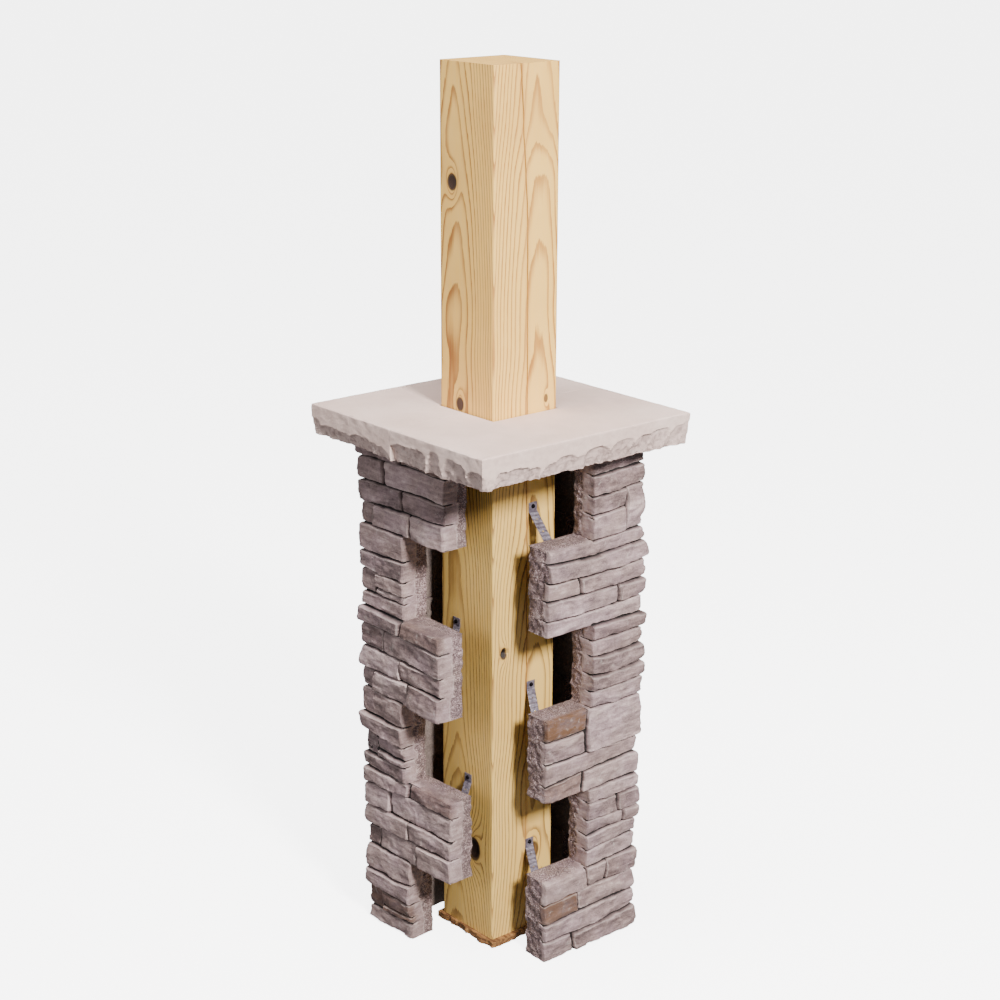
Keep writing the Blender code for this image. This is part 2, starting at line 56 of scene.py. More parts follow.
def smoothStep(value, low, high):
    # an eased ramp from 0 at low to 1 at high
    share = np.clip((value - low) / (high - low), 0.0, 1.0)
    return share * share * (3 - 2 * share)


def hills(u, v, seed, octaves=3):
    # a table of random heights read with eased steps between its points, plus finer copies: each is twice as
    # fine as the one before it and half as high
    table = np.random.RandomState(seed).uniform(-1, 1, (64, 64))
    total, size = 0.0, 1.0
    for octave in range(octaves):
        a, b = u * 2 ** octave + 17.3 * octave, v * 2 ** octave + 5.1 * octave
        i, j = np.floor(a).astype(int), np.floor(b).astype(int)
        x, y = smoothStep(a - i, 0, 1), smoothStep(b - j, 0, 1)
        low = table[i % 64, j % 64] * (1 - x) + table[(i + 1) % 64, j % 64] * x
        high = table[i % 64, (j + 1) % 64] * (1 - x) + table[(i + 1) % 64, (j + 1) % 64] * x
        total = total + size * (low * (1 - y) + high * y)
        size *= 0.5
    return total


def fillLines(marks, low, high, near, step):
    # every mark, close neighbours on both sides of it, and even steps across the gaps that are left
    marks = np.unique(np.round(np.clip(marks, low, high), 5))
    closest = near[0] * 0.7
    extra = (marks[:, None] + np.array([-n for n in near] + list(near))).ravel()
    extra = extra[(extra > low) & (extra < high)]
    extra = extra[np.abs(extra[:, None] - marks).min(1) > closest]
    lines = [low]
    for place in np.unique(np.concatenate([marks, extra])):
        isMark = np.abs(marks - place).min() < tiny
        if place - lines[-1] > (tiny if isMark else closest):
            lines.append(place)
    filled = [np.linspace(a, b, max(1, math.ceil((b - a) / step)), endpoint=False)
              for a, b in zip(lines, lines[1:])]
    return np.concatenate(filled + [[high]])


def tube(grid, hubs):
    # rings of points, closed along the grid's first axis, with a fan of triangles from a hub over each end
    count, rows = grid.shape[:2]
    ids = np.arange(count * rows).reshape(count, rows)
    after = np.roll(ids, -1, 0)
    quads = np.stack([ids[:, :-1], after[:, :-1], after[:, 1:], ids[:, 1:]], -1).reshape(-1, 4)
    low = np.stack([np.full(count, count * rows), after[:, 0], ids[:, 0]], 1)
    high = np.stack([np.full(count, count * rows + 1), ids[:, -1], after[:, -1]], 1)
    return np.concatenate([grid.reshape(-1, 3), hubs]), quads, np.concatenate([low, high])


def put(name, data):
    # an object in the scene
    made = bpy.data.objects.new(name, data)
    bpy.context.scene.collection.objects.link(made)
    return made


def makePiece(node, kind, points, quads, triangles, material, sharpAngle, attributes):
    # points in inches become one mesh piece in metres that rides on the wrap in place of its node
    mesh = bpy.data.meshes.new(node + kind)
    corners = np.concatenate([quads.ravel(), np.ravel(triangles)])
    starts = np.concatenate([np.arange(len(quads)) * 4, quads.size + np.arange(len(triangles)) * 3])
    mesh.vertices.add(len(points))
    mesh.vertices.foreach_set("co", (points * inch).astype(np.float32).ravel())
    mesh.loops.add(len(corners))
    mesh.loops.foreach_set("vertex_index", corners.astype(np.int32))
    mesh.polygons.add(len(starts))
    mesh.polygons.foreach_set("loop_start", starts.astype(np.int32))
    mesh.update(calc_edges=True)
    mesh.validate()
    mesh.shade_smooth()
    mesh.set_sharp_from_angle(angle=math.radians(sharpAngle))
    for key, values in attributes.items():
        mesh.attributes.new(key, "FLOAT", "POINT").data.foreach_set("value", values.astype(np.float32))
    mesh.materials.append(material)
    piece = put(node + kind, mesh)
    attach(piece, "root")
    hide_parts(node)
    return piece


# Shader maths: an expression on wires adds its Math nodes

def asMaths(operation, swapped=False):
    # the method for one arithmetic sign
    def act(self, other):
        return self.maths(operation, *((other, self) if swapped else (self, other)))
    return act


class Wire:
    def __init__(self, tree, socket=None):
        self.tree, self.socket = tree, socket

    def add(self, kind, settings, inputs, output=0):
        made = self.tree.nodes.new(kind)
        for key, value in settings.items():
            setattr(made, key, value)
        for key, value in inputs.items():
            if isinstance(value, Wire):
                self.tree.links.new(value.socket, made.inputs[key])
            else:
                made.inputs[key].default_value = value
        return Wire(self.tree, made.outputs[output])

    def maths(self, operation, *values):
        return self.add("ShaderNodeMath", {"operation": operation}, dict(enumerate(values)))

    __add__ = __radd__ = asMaths("ADD")
    __mul__ = __rmul__ = asMaths("MULTIPLY")
    __sub__, __rsub__ = asMaths("SUBTRACT"), asMaths("SUBTRACT", swapped=True)
    __truediv__, __pow__ = asMaths("DIVIDE"), asMaths("POWER")

    def clamped(self):
        return self.maths("MAXIMUM", self.maths("MINIMUM", self, 1.0), 0.0)

    def eased(self, low, high):
        settings = {"interpolation_type": "SMOOTHSTEP"}
        inputs = {"Value": self, "From Min": low, "From Max": high}
        return self.add("ShaderNodeMapRange", settings, inputs)

    def noise(self, scale, detail=3.0, roughness=0.5, output=0):
        inputs = {"Vector": self, "Scale": scale, "Detail": detail, "Roughness": roughness}
        return self.add("ShaderNodeTexNoise", {}, inputs, output)

    def stretched(self, x, y, z):
        return self.add("ShaderNodeMapping", {}, {"Vector": self, "Scale": (x, y, z)})

    def cells(self, scale):
        # a random value for each Voronoi cell
        return self.add("ShaderNodeTexVoronoi", {}, {"Vector": self, "Scale": scale}, output=1).parts()[0]

    def mix(self, first, second, blend="MIX"):
        settings = {"data_type": "RGBA", "blend_type": blend}
        return self.add("ShaderNodeMix", settings, {0: self, 6: first, 7: second}, output=2)

    def ramp(self, low, middle, high):
        made = self.add("ShaderNodeValToRGB", {}, {"Fac": self})
        stops = made.socket.node.color_ramp.elements
        stops.new(0.5)
        for stop, colour in zip(stops, (low, middle, high)):
            stop.color = colour
        return made

    def attribute(self, name):
        return self.add("ShaderNodeAttribute", {"attribute_name": name}, {}, output=2)

    def parts(self):
        return [self.add("ShaderNodeSeparateXYZ", {}, {"Vector": self}, output=k) for k in range(3)]


def rgb(red, green, blue):
    # a colour seen on screen, from 0 to 255, as the shader's linear one
    linear = [((c / 255 + 0.055) / 1.055) ** 2.4 if c > 10 else c / 255 / 12.92 for c in (red, green, blue)]
    return (*linear, 1.0)


def setValues(made, values):
    # plain values of a material's shader
    for key, value in values.items():
        made.node_tree.nodes["Principled BSDF"].inputs[key].default_value = value


def newMaterial(name, roughness, metallic=0.0):
    # a material, and a wire with Object coordinates in inches
    made = bpy.data.materials.new(name)
    made.use_nodes = True
    setValues(made, {"Roughness": roughness, "Metallic": metallic})
    place = Wire(made.node_tree).add("ShaderNodeTexCoord", {}, {}, output=3)
    return made, place.add("ShaderNodeVectorMath", {"operation": "SCALE"}, {0: place, "Scale": 1 / inch})


def finish(made, colour, roughness=None, height=None, strength=1.0):
    # joins the worked-out colour, roughness and height in inches to the shader
    found = {"Base Color": colour, "Roughness": roughness}
    if height is not None:
        inputs = {"Height": height, "Strength": strength, "Distance": inch}
        found["Normal"] = height.add("ShaderNodeBump", {}, inputs)
    for key, wire in found.items():
        if wire is not None:
            made.node_tree.links.new(wire.socket, made.node_tree.nodes["Principled BSDF"].inputs[key])
    return made


# Corner units

unitSizes = {
    "height": 12.0, "tiers": 3, "wrapWidth": 13.98, "wall": 2.2, "rightLong": 9.15, "rightShort": 4.9,
    "upperGap": 0.08, "lowerGap": 0.43, "jointDepth": 0.40, "faceVariation": 0.12,
    "hiddenWidths": (2.6, 5.2), "crowding": 0.4, "crowdingStep": 0.1, "tallStone": 2.5, "upperShare": 0.49,
}

# Courses from the top of a unit down: height, lifts of the lower line at the corner, half-way and at the end,
# how far the corner stone stands out, upright joints from the corner, and level joints by block.
stonePatterns = {
    "ledge": [
        (1.20, (-0.10, 0.12, 0.03), 0.25, (4.85,), {}),
        (1.70, (-0.05, 0.08, 0.00), 0.10, (2.90,), {}),
        (1.45, (-0.20, 0.03, 0.10), 0.10, (4.80,), {}),
        (1.65, (0.00, 0.00, 0.00), -0.10, (1.60, 5.60), {}),
        (1.90, (0.00, -0.05, 0.10), 0.05, (), {}),
        (1.35, (0.03, -0.02, -0.05), 0.15, (), {}),
        (1.65, (-0.05, 0.00, 0.05), -0.20, (1.80,), {1: 0.33}),
        (1.10, (0.00, 0.00, 0.00), 0.00, (), {}),
    ],
    "tall_corner": [
        (1.40, (0.05, -0.05, -0.10), 0.00, (), {}),
        (1.45, (0.20, 0.00, -0.15), 0.00, (), {}),
        (3.15, (0.25, 0.15, 0.00), 0.10, (1.80,), {1: 0.58}),
        (0.95, (0.20, -0.05, 0.10), 0.15, (), {}),
        (1.30, (0.20, -0.05, 0.10), 0.30, (), {}),
        (1.30, (0.05, 0.00, 0.10), 0.10, (5.85,), {}),
        (1.30, (0.15, -0.05, -0.05), 0.15, (2.40,), {}),
        (1.15, (0.00, 0.00, 0.00), -0.05, (), {}),
    ],
    "square_block": [
        (1.10, (0.05, 0.00, 0.00), 0.30, (), {}),
        (1.20, (0.10, 0.00, 0.05), 0.15, (), {}),
        (1.30, (0.10, -0.05, 0.05), 0.35, (), {}),
        (1.15, (0.10, 0.05, 0.00), 0.30, (), {}),
        (1.25, (0.00, 0.00, 0.00), 0.15, (), {}),
        (3.15, (0.00, -0.05, -0.05), 0.15, (5.05,), {1: 0.52}),
        (1.40, (0.20, 0.05, -0.30), -0.30, (), {}),
        (1.45, (0.00, 0.00, 0.00), 0.00, (5.30,), {}),
    ],
    "short_stones": [
        (1.05, (0.05, -0.05, 0.00), 0.30, (), {}),
        (1.35, (0.00, -0.03, 0.00), 0.20, (2.00,), {}),
        (1.10, (0.05, 0.10, -0.05), 0.20, (1.50,), {}),
        (1.10, (0.15, 0.05, -0.10), -0.10, (), {}),
        (1.40, (0.25, 0.10, 0.00), -0.20, (), {}),
        (1.60, (0.10, 0.15, -0.15), 0.15, (2.95, 4.75), {}),
        (1.45, (0.05, -0.03, -0.15), -0.10, (5.50,), {}),
        (1.40, (0.20, -0.15, 0.00), 0.10, (), {}),
        (1.55, (0.00, 0.00, 0.00), 0.15, (5.95,), {}),
    ],
}

# Stones of another colour on the leg that shows: by course, block and level, how much lighter than its
# neighbours the stone is and how brown.
stoneTones = {
    "ledge": {(0, 1, 0): (-0.55, 0.35), (3, 1, 0): (0.25, 0.1), (4, 0, 0): (0.1, 0.15)},
    "tall_corner": {
        (6, 0, 0): (-0.35, 0.1), (5, 1, 0): (0.25, 0.25), (5, 1, 1): (0.1, 0.2), (7, 0, 0): (0.2, 0.0),
    },
    "square_block": {
        (5, 1, 1): (-0.25, 1.0), (7, 1, 0): (-0.1, 0.5), (5, 0, 0): (0.3, 0.0), (6, 0, 0): (0.2, 0.2),
    },
    "short_stones": {
        (6, 1, 0): (-0.5, 0.8), (5, 2, 0): (0.3, 0.15), (7, 0, 0): (0.25, 0.1), (8, 1, 0): (-0.15, 0.1),
    },
}
unitTones = {("left", 0): {(6, 0, 0): (-0.75, 0.55), (6, 1, 0): (-0.75, 0.55), (6, 1, 1): (-0.7, 0.5)}}

# The stacks: direction of the corner, turn of the right leg from +X, the leg with the pattern above, and for
# each tier its pattern, its shift in X and Y and its turn.
stacks = {
    "left": ((-1, -1), 0.0, "right", [("ledge", 0.30, 0.15, 2.0), ("ledge", -0.02, 0.21, -2.5),
                                      ("ledge", -0.02, 0.23, 0.0)]),
    "right": ((1, 1), 180.0, "left", [("short_stones", -0.20, 0.29, 0.0), ("square_block", -0.20, 0.33, 0.0),
                                      ("tall_corner", -0.20, 0.31, 0.0)]),
    "back": ((-1, 1), -90.0, "right", [("square_block", -0.21, 0.21, 0.0), ("tall_corner", -0.21, 0.21, 0.0),
                                       ("short_stones", -0.21, 0.21, 0.0)]),
}
tierNames = ("lower", "middle", "upper")
legSigns = {"right": 1, "left": -1}


def legReach(side, upper):
    # the right leg is long above and short below, and the left one fills what the next unit's leaves
    s = unitSizes
    if side == "right":
        return s["rightLong"] if upper else s["rightShort"]
    if upper:
        return s["wrapWidth"] - s["rightLong"] - s["upperGap"]
    return s["wrapWidth"] - s["rightShort"] - s["lowerGap"]


def hiddenJoints(leg, upper, above, chance):
    # upright joints on the leg without a given pattern, clear of the joints above and of the steps
    s = unitSizes
    crowded = above + [legReach(leg, True), legReach(leg, False)]
    joints, place = [], chance.uniform(*s["hiddenWidths"])
    while place < legReach(leg, upper) - s["hiddenWidths"][0] / 2:
        while any(abs(place - other) < s["crowding"] for other in crowded):
            place += s["crowdingStep"]
        joints.append(place)
        place += chance.uniform(*s["hiddenWidths"])
    return joints


def layStones(patternName, shownLeg, seed, tones):
    # stones as boxes on the unfolded wall: t along it from the corner, negative on the left leg, and q up it
    s, chance = unitSizes, random.Random(seed)
    pattern = stonePatterns[patternName]
    heights = [course[0] for course in pattern]
    count = 0
    while sum(heights[:count]) < s["upperShare"] * sum(heights):
        count += 1
    half = s["height"] / 2
    heights = [h * half / sum(part) for part in (heights[:count], heights[count:]) for h in part]
    hiddenLeg = "left" if shownLeg == "right" else "right"
    stones, lines, top, above = [], [(s["height"], (0.0, 0.0, 0.0), True)], s["height"], []
    for course, (_, lifts, cornerFace, joints, splits) in enumerate(pattern):
        upper = course < count
        height = heights[course]
        bottom = top - height if course + 1 < len(pattern) else 0.0
        above = hiddenJoints(hiddenLeg, upper, above, chance)
        parted = {block: 0.5 for block in range(1, 9)} if height > s["tallStone"] else {}
        ends = {}
        for leg, legJoints, shares in ((shownLeg, list(joints), splits), (hiddenLeg, above, parted)):
            reach = legReach(leg, upper)
            stops = [joint for joint in legJoints if joint < reach - s["hiddenWidths"][0] / 4] + [reach]
            ends[leg] = [(stop, [height * shares[k]] if k in shares else []) for k, stop in enumerate(stops)]
        stones.append({"t": (-ends["left"][0][0], ends["right"][0][0]), "q": (bottom, top),
                       "face": cornerFace, "upper": upper, "tone": tones.get((course, 0, 0))})
        for leg, sign in legSigns.items():
            for block, ((start, _), (end, levelJoints)) in enumerate(zip(ends[leg], ends[leg][1:]), 1):
                levels = [bottom] + [bottom + rise for rise in levelJoints] + [top]
                for level, (low, high) in enumerate(zip(levels, levels[1:])):
                    face = chance.uniform(-s["faceVariation"], s["faceVariation"])
                    tone = tones.get((course, block, level)) if leg == shownLeg else None
                    stones.append({"t": tuple(sorted((sign * start, sign * end))), "q": (low, high),
                                   "face": face, "upper": upper, "tone": tone})
        lines.append((bottom, lifts, upper))
        top = bottom
    return stones, lines


def lineLift(line, t, shownLeg):
    # a parabola through the line's three lifts, level on the end of the other leg
    place, (corner, middle, end), upper = line
    lift = np.zeros_like(t)
    for side, sign in legSigns.items():
        reach = legReach(side, upper)
        if abs(place - unitSizes["height"] / 2) < tiny:
            reach = min(legReach(side, True), legReach(side, False))
        share = np.clip(sign * t / reach, 0.0, 1.0)
        curve = corner * (1 - share)
        if side == shownLeg:
            curve = curve * (1 - 2 * share) + 4 * middle * share * (1 - share) + end * share * (2 * share - 1)
        lift = np.where(sign * t >= 0, curve, lift)
    return lift


stoneLook = {
    "cornerRound": 0.45, "cornerFullness": 3.2,     # of the outer arris: 2 is round, more is squarer
    "jointHalf": 0.055, "edgeRound": (0.06, 0.24), "edgeFullness": 2.3, "cornerEdge": 0.10,
    "freeRound": (0.05, 0.18), "lowestFace": -0.16, "tilt": (0.015, 0.06), "lean": 0.10, "lineWander": 0.05,
    "facets": 6, "facetSlope": (0.06, 0.34), "facetStart": (0.02, 0.10), "facetDepth": 0.15,
    "layerRise": 0.07, "layersPerHill": 1.6, "hillHeight": 0.035, "crumbHeight": 0.02,
    "nearJoints": (0.035, 0.08, 0.15), "alongStep": 0.125, "upStep": 0.105, "throughRows": 22, "mitre": 3.0,
    "gritStart": 1.15, "fingerGrit": {"left": 1.15, "right": 0.35, "back": 1.15}, "gritHeight": 0.07,
    "seamDepth": 0.04, "seamHalf": 0.06, "tornEdge": 0.14, "hookDepth": 0.12, "hookHalf": 0.055,
    "hookReach": (0.3, 0.95), "tones": (-0.4, 0.35), "browns": (0.0, 0.2),
    "gritWander": 0.1, "gritEdge": 0.08, "endWave": 0.025, "bedSwell": 0.05, "endSwell": 0.03,
}
castFields = ("stoneTone", "stoneBrown", "inStone", "worn", "grit", "inside")


def jointRise(distance, edgeRound, wander):
    # 0 in the joint, then up a steep rounded edge to 1
    share = np.clip((distance - stoneLook["jointHalf"] * wander) / edgeRound, 0.0, 1.0)
    power = stoneLook["edgeFullness"]
    return (1 - (1 - share) ** power) ** (1 / power)


def between(limits, share):
    return limits[0] + (limits[1] - limits[0]) * share


def freeDrop(distance, radius):
    # the drop of a quarter-round edge of that radius
    share = np.clip(distance / radius, 0.0, 1.0)
    return radius * (1 - np.sqrt(1 - (1 - share) ** 2))


def stoneRelief(t, q, stone, number, seed, shortReach):
    # a tilted face with slanting breaks and thin layers split off it, rounded to its joints and free edges
    look, s = stoneLook, unitSizes
    chance = np.random.RandomState(seed * 101 + number)
    (t0, t1), (q0, q1) = stone["t"], stone["q"]
    a, b = t - (t0 + t1) / 2, q - (q0 + q1) / 2
    riven = chance.uniform(0.3, 1.1)
    tilts = chance.uniform(-1, 1, 2) * look["tilt"]
    plane = max(stone["face"], look["lowestFace"]) + tilts[0] * np.clip(a, -3, 3) + tilts[1] * b
    cut = np.zeros_like(t)
    for facet in range(look["facets"]):
        angle, slope = chance.uniform(0, 2 * math.pi), chance.uniform(*look["facetSlope"])
        spot = chance.uniform(-0.4, 0.4) * (t1 - t0)
        rise = slope * ((a - spot) * math.cos(angle) * 0.6 + b * math.sin(angle))
        cut = np.minimum(cut, chance.uniform(*look["facetStart"]) + rise)
    layer = look["layersPerHill"] * hills(t * 0.45 + 3.7 * number, q * 1.2 + number, seed + 11, 3)
    whole = np.floor(layer)
    layers = look["layerRise"] * np.clip(whole + smoothStep(layer - whole, 0.78, 1.0), -2, 1)
    face = plane + riven * (np.maximum(cut, -look["facetDepth"]) + layers)
    face = face + look["hillHeight"] * hills(t * 0.8 + number, q * 1.7, seed + 3, 3)
    face = face + look["crumbHeight"] * hills(t * 3.7, q * 3.7 + number, seed + 4, 2)
    # worn is how far the face stands out of its plane: the colour is lighter where it stands out and darker
    # where it is cut back
    worn = np.clip((face - plane) / 0.15, -1, 1)

    # edges: their rounding and the joints' width wander, and stones are rounder at the outer corner
    wander = np.clip(0.5 + 0.5 * hills(t * 0.9 + number, q * 0.9, seed + 9, 2), 0, 1) ** 2
    edgeRound = between(look["edgeRound"], wander)
    edgeRound = edgeRound + look["cornerEdge"] * (1 - smoothStep(np.abs(t), 0.1, 1.1))
    freeRound = between(look["freeRound"], wander)
    jointWander = 1 + 0.5 * np.clip(hills(t * 1.1, q * 1.1, seed + 10, 2), -1, 1)
    inOther = smoothStep(np.where(t > 0, shortReach["right"] - t, t + shortReach["left"]), -0.12, 0.12)
    pillow, drop = np.ones_like(t), np.zeros_like(t)
    for distance, edge, side in ((t - t0, t0, "left"), (t1 - t, t1, "right")):
        if abs(abs(edge) - legReach(side, stone["upper"])) < tiny:
            drop = drop + freeDrop(distance, freeRound)
        else:
            lean = random.Random(round(edge * 1000) + round(q0 * 50)).uniform(-1, 1) * look["lean"]
            wiggle = lean * b / max(q1 - q0, 1.0) * 2 + 0.02 * hills(q * 1.7, edge + 0 * q, seed + 8, 2)
            shifted = distance + (wiggle if side == "left" else -wiggle)
            pillow = pillow * jointRise(shifted, edgeRound, jointWander)
    for distance, edge in ((q - q0, q0), (q1 - q, q1)):
        rise = jointRise(distance, edgeRound, jointWander)
        if min(abs(edge - level) for level in (0.0, s["height"] / 2, s["height"])) < tiny:
            pillow = pillow * (rise * inOther + 1 - inOther)
            drop = drop + freeDrop(distance, freeRound) * (1 - inOther)
        else:
            pillow = pillow * rise
    depth = s["jointDepth"]
    return -depth + (face - drop + depth) * pillow, pillow, worn


def foldWall(t, face):
    # round the corner: both legs are flat, and between them lies a squarish quarter round about (a, a)
    a, power = stoneLook["cornerRound"], 2 / stoneLook["cornerFullness"]
    angle = (1 - np.clip(t / a, -1, 1)) * math.pi / 4
    radius = a + face
    x = np.where(t > a, t, a - radius * np.sin(angle) ** power)
    y = np.where(t < -a, -t, a - radius * np.cos(angle) ** power)
    return x, y


def makeUnit(name, stack, tier, seed, material):
    # the unfolded wall as a grid with its relief, folded round the corner, closed behind and set in its place
    s, look = unitSizes, stoneLook
    direction, turn, shownLeg, settings = stacks[stack]
    patternName, shiftX, shiftY, unitTurn = settings[tier]
    tones = {**stoneTones[patternName], **unitTones.get((stack, tier), {})}
    stones, lines = layStones(patternName, shownLeg, seed, tones)
    reach = {side: {upper: legReach(side, upper) for upper in (True, False)} for side in legSigns}
    shortReach = {side: min(reach[side].values()) for side in reach}

    # the grid of the unfolded wall, finer beside the joints and round the corner
    tMarks = [place for stone in stones for place in stone["t"]]
    tMarks += [sign * reach[side][upper] for side, sign in legSigns.items() for upper in (True, False)]
    tMarks += list(np.linspace(-look["cornerRound"], look["cornerRound"], 9))
    tLines = fillLines(tMarks, min(tMarks), max(tMarks), look["nearJoints"], look["alongStep"])
    qMarks = [place for stone in stones for place in stone["q"]]
    qLines = fillLines(qMarks, 0.0, s["height"], look["nearJoints"], look["upStep"])
    tGrid, qGrid = np.meshgrid(tLines, qLines, indexing="ij")
    middle = s["height"] / 2
    tMid, qMid = np.meshgrid((tLines[1:] + tLines[:-1]) / 2, (qLines[1:] + qLines[:-1]) / 2, indexing="ij")
    upperCell = qMid > middle
    cells = (tMid < np.where(upperCell, reach["right"][True], reach["right"][False])) & \
            (tMid > -np.where(upperCell, reach["left"][True], reach["left"][False]))

    # for each point how far it stands out of the nominal face, its stone's tone and brown, and whether it is
    # in a stone and worn
    surface = np.zeros((5, *tGrid.shape))
    surface[0] = -s["jointDepth"]
    chance = random.Random(seed + 500)
    for number, stone in enumerate(stones):
        (t0, t1), (q0, q1) = stone["t"], stone["q"]
        spread = look["lean"] * 1.5
        low = max(t0 - spread, -reach["left"][stone["upper"]] - tiny)
        high = min(t1 + spread, reach["right"][stone["upper"]] + tiny)
        mine = (tGrid > low) & (tGrid < high) & (qGrid > q0 - tiny) & (qGrid < q1 + tiny)
        relief, pillow, standOut = stoneRelief(tGrid[mine], qGrid[mine], stone, number, seed, shortReach)
        own = stone["tone"] or [chance.uniform(*look[key]) for key in ("tones", "browns")]
        values = np.stack(np.broadcast_arrays(relief, *own, pillow, standOut))
        surface[:, mine] = np.where(relief >= surface[0, mine], values, surface[:, mine])

    # real height of each point: the courses' lines rise and fall, and wander a little
    z = qGrid.copy()
    for number, (above, below) in enumerate(zip(lines, lines[1:])):
        lifts = []
        for k, line in ((number, above), (number + 1, below)):
            loose = 0.0 if k == 0 or k == len(lines) - 1 else look["lineWander"]
            wander = loose * hills(tLines * 0.7 + 3.1 * k, tLines * 0 + k + 0.5, seed + 6, 3)
            lifts.append(lineLift(line, tLines, shownLeg) + wander)
        rows = (qLines >= below[0] - tiny) & (qLines <= above[0] + tiny)
        share = (qLines[rows] - below[0]) / (above[0] - below[0])
        z[:, rows] = qLines[rows] + share * lifts[0][:, None] + (1 - share) * lifts[1][:, None]
    outer = np.stack([*foldWall(tGrid, surface[0]), z], -1)

    # the inside of the wall, mitred at the corner
    mitre, wall = look["mitre"], s["wall"]
    along = np.maximum(np.abs(tGrid), wall + np.abs(tGrid) * (mitre - wall) / mitre)
    inner = np.stack([np.where(tGrid > 0, along, wall), np.where(tGrid < 0, along, wall), qGrid], -1)

    # numbering: the points of the outer face, then the rows of the ends and beds through the wall's thickness
    padded = np.pad(cells, 1)
    around = np.stack([padded[:-1, :-1], padded[1:, :-1], padded[:-1, 1:], padded[1:, 1:]])
    used, rim = around.any(0), around.any(0) & ~around.all(0)
    ids = np.full(tGrid.shape, -1)
    ids[used] = np.arange(used.sum())
    rimIds = np.full(tGrid.shape, -1)
    rimIds[rim] = np.arange(rim.sum())
    i, j = np.nonzero(cells)
    quads = [np.stack([ids[i, j], ids[i + 1, j], ids[i + 1, j + 1], ids[i, j + 1]], 1)]
    edges = []
    for di, dj, start, end in ((0, -1, (0, 0), (1, 0)), (1, 0, (1, 0), (1, 1)),
                               (0, 1, (1, 1), (0, 1)), (-1, 0, (0, 1), (0, 0))):
        free = ~padded[i + 1 + di, j + 1 + dj]
        edges.append([i[free] + start[0], j[free] + start[1], i[free] + end[0], j[free] + end[1]])
    i0, j0, i1, j1 = np.concatenate(edges, 1)
    first, second = ids[i0, j0], ids[i1, j1]
    rimCount, outerCount, rowCount = int(rim.sum()), int(used.sum()), look["throughRows"]
    for row in range(rowCount):
        rowStart = outerCount + row * rimCount
        nextFirst, nextSecond = rowStart + rimIds[i0, j0], rowStart + rimIds[i1, j1]
        quads.append(np.stack([second, first, nextFirst, nextSecond], 1))
        first, second = nextFirst, nextSecond

    # relief and colour of the ends, steps and beds: joints hook round the ends, and are rough and torn inside
    a, b, c, d = around[:, rim] * 0.5
    outT, outZ = np.abs(a + c - b - d), a + b - c - d
    tRim, qRim = tGrid[rim], qGrid[rim]
    isBed = (qRim < tiny) | (qRim > s["height"] - tiny)
    courseLines = np.unique([place for stone in stones for place in stone["q"]])[1:-1]
    toLines = np.abs(qRim[:, None] - courseLines)
    toLine = toLines.min(1)
    hookReach = np.random.RandomState(seed + 31).uniform(*look["hookReach"], len(courseLines))
    hookReach = hookReach[toLines.argmin(1)]
    legDirection = np.where((tRim > 0)[:, None], (1.0, 0.0, 0.0), (0.0, 1.0, 0.0))
    onFinger = (tRim > shortReach["right"] + 0.5) | (-tRim > shortReach["left"] + 0.5)
    seamWander = np.where(onFinger, look["fingerGrit"][stack], look["gritStart"])
    seamWander = seamWander + look["gritWander"] * hills(qRim * 0.9, tRim, seed + 14, 3)
    torn = look["tornEdge"] * np.clip(0.4 + 0.8 * hills(qRim * 1.5, tRim, seed + 15, 4), 0, 1)
    points, fields = [outer[used]], [np.concatenate([surface[1:, used], np.zeros((2, outerCount))])]
    tone, brown = surface[1:3, rim]
    isEnd = outT > 0.1
    thickness = np.linalg.norm(inner[rim] - outer[rim], axis=1)
    for row in range(1, rowCount + 1):
        share = row / rowCount
        deep = share * thickness
        grit = smoothStep(deep, seamWander - look["gritEdge"], seamWander + look["gritEdge"])
        rough = hills(qRim * 3.3, deep * 3.3 + tRim, seed + 12, 4) - 0.4
        even = look["endWave"] * hills(qRim * 1.1, deep * 1.1 + tRim, seed + 13, 3)
        even = even * smoothStep(deep, 0.0, 0.3)
        hook = np.exp(-(toLine / look["hookHalf"]) ** 2) * (1 - smoothStep(deep, hookReach - 0.2, hookReach))
        hook = hook * (1 - 0.8 * grit)
        seam = np.exp(-((deep - seamWander) / look["seamHalf"]) ** 2) * smoothStep(seamWander, 0.5, 0.9)
        back = look["gritHeight"] * rough * grit + even * (1 - grit) - look["hookDepth"] * hook
        back = np.minimum(back - look["seamDepth"] * seam - torn * smoothStep(share, 0.7, 1.0), 0.02) * outT
        swell = 0.6 * hills(tRim * 0.9, deep * 1.3, seed + 7, 3)
        swell = swell + 0.3 * hills(tRim * 4, deep * 4, seed + 16, 2) * grit
        swell = np.where(isBed, -look["bedSwell"] * np.abs(swell), look["endSwell"] * swell)
        swell = swell * smoothStep(deep, 0.0, 0.4)
        spot = outer[rim] * (1 - share) + inner[rim] * share + legDirection * back[:, None]
        spot[:, 2] += swell * outZ
        points.append(spot)
        fade = 1 - smoothStep(deep, 0.1, 0.7)
        # the last row lies on the inner face and takes the inside mark for the painted shade
        fields.append([tone * fade + (0.7 * isEnd - 0.65) * (1 - fade) - 0.6 * grit * isEnd,
                       brown * fade + 0.12 * (1 - fade), 1 - np.maximum(hook, 0.35 * seam) * isEnd,
                       np.clip(rough * grit * isEnd, -1, 1), grit, np.full(rimCount, row == rowCount)])

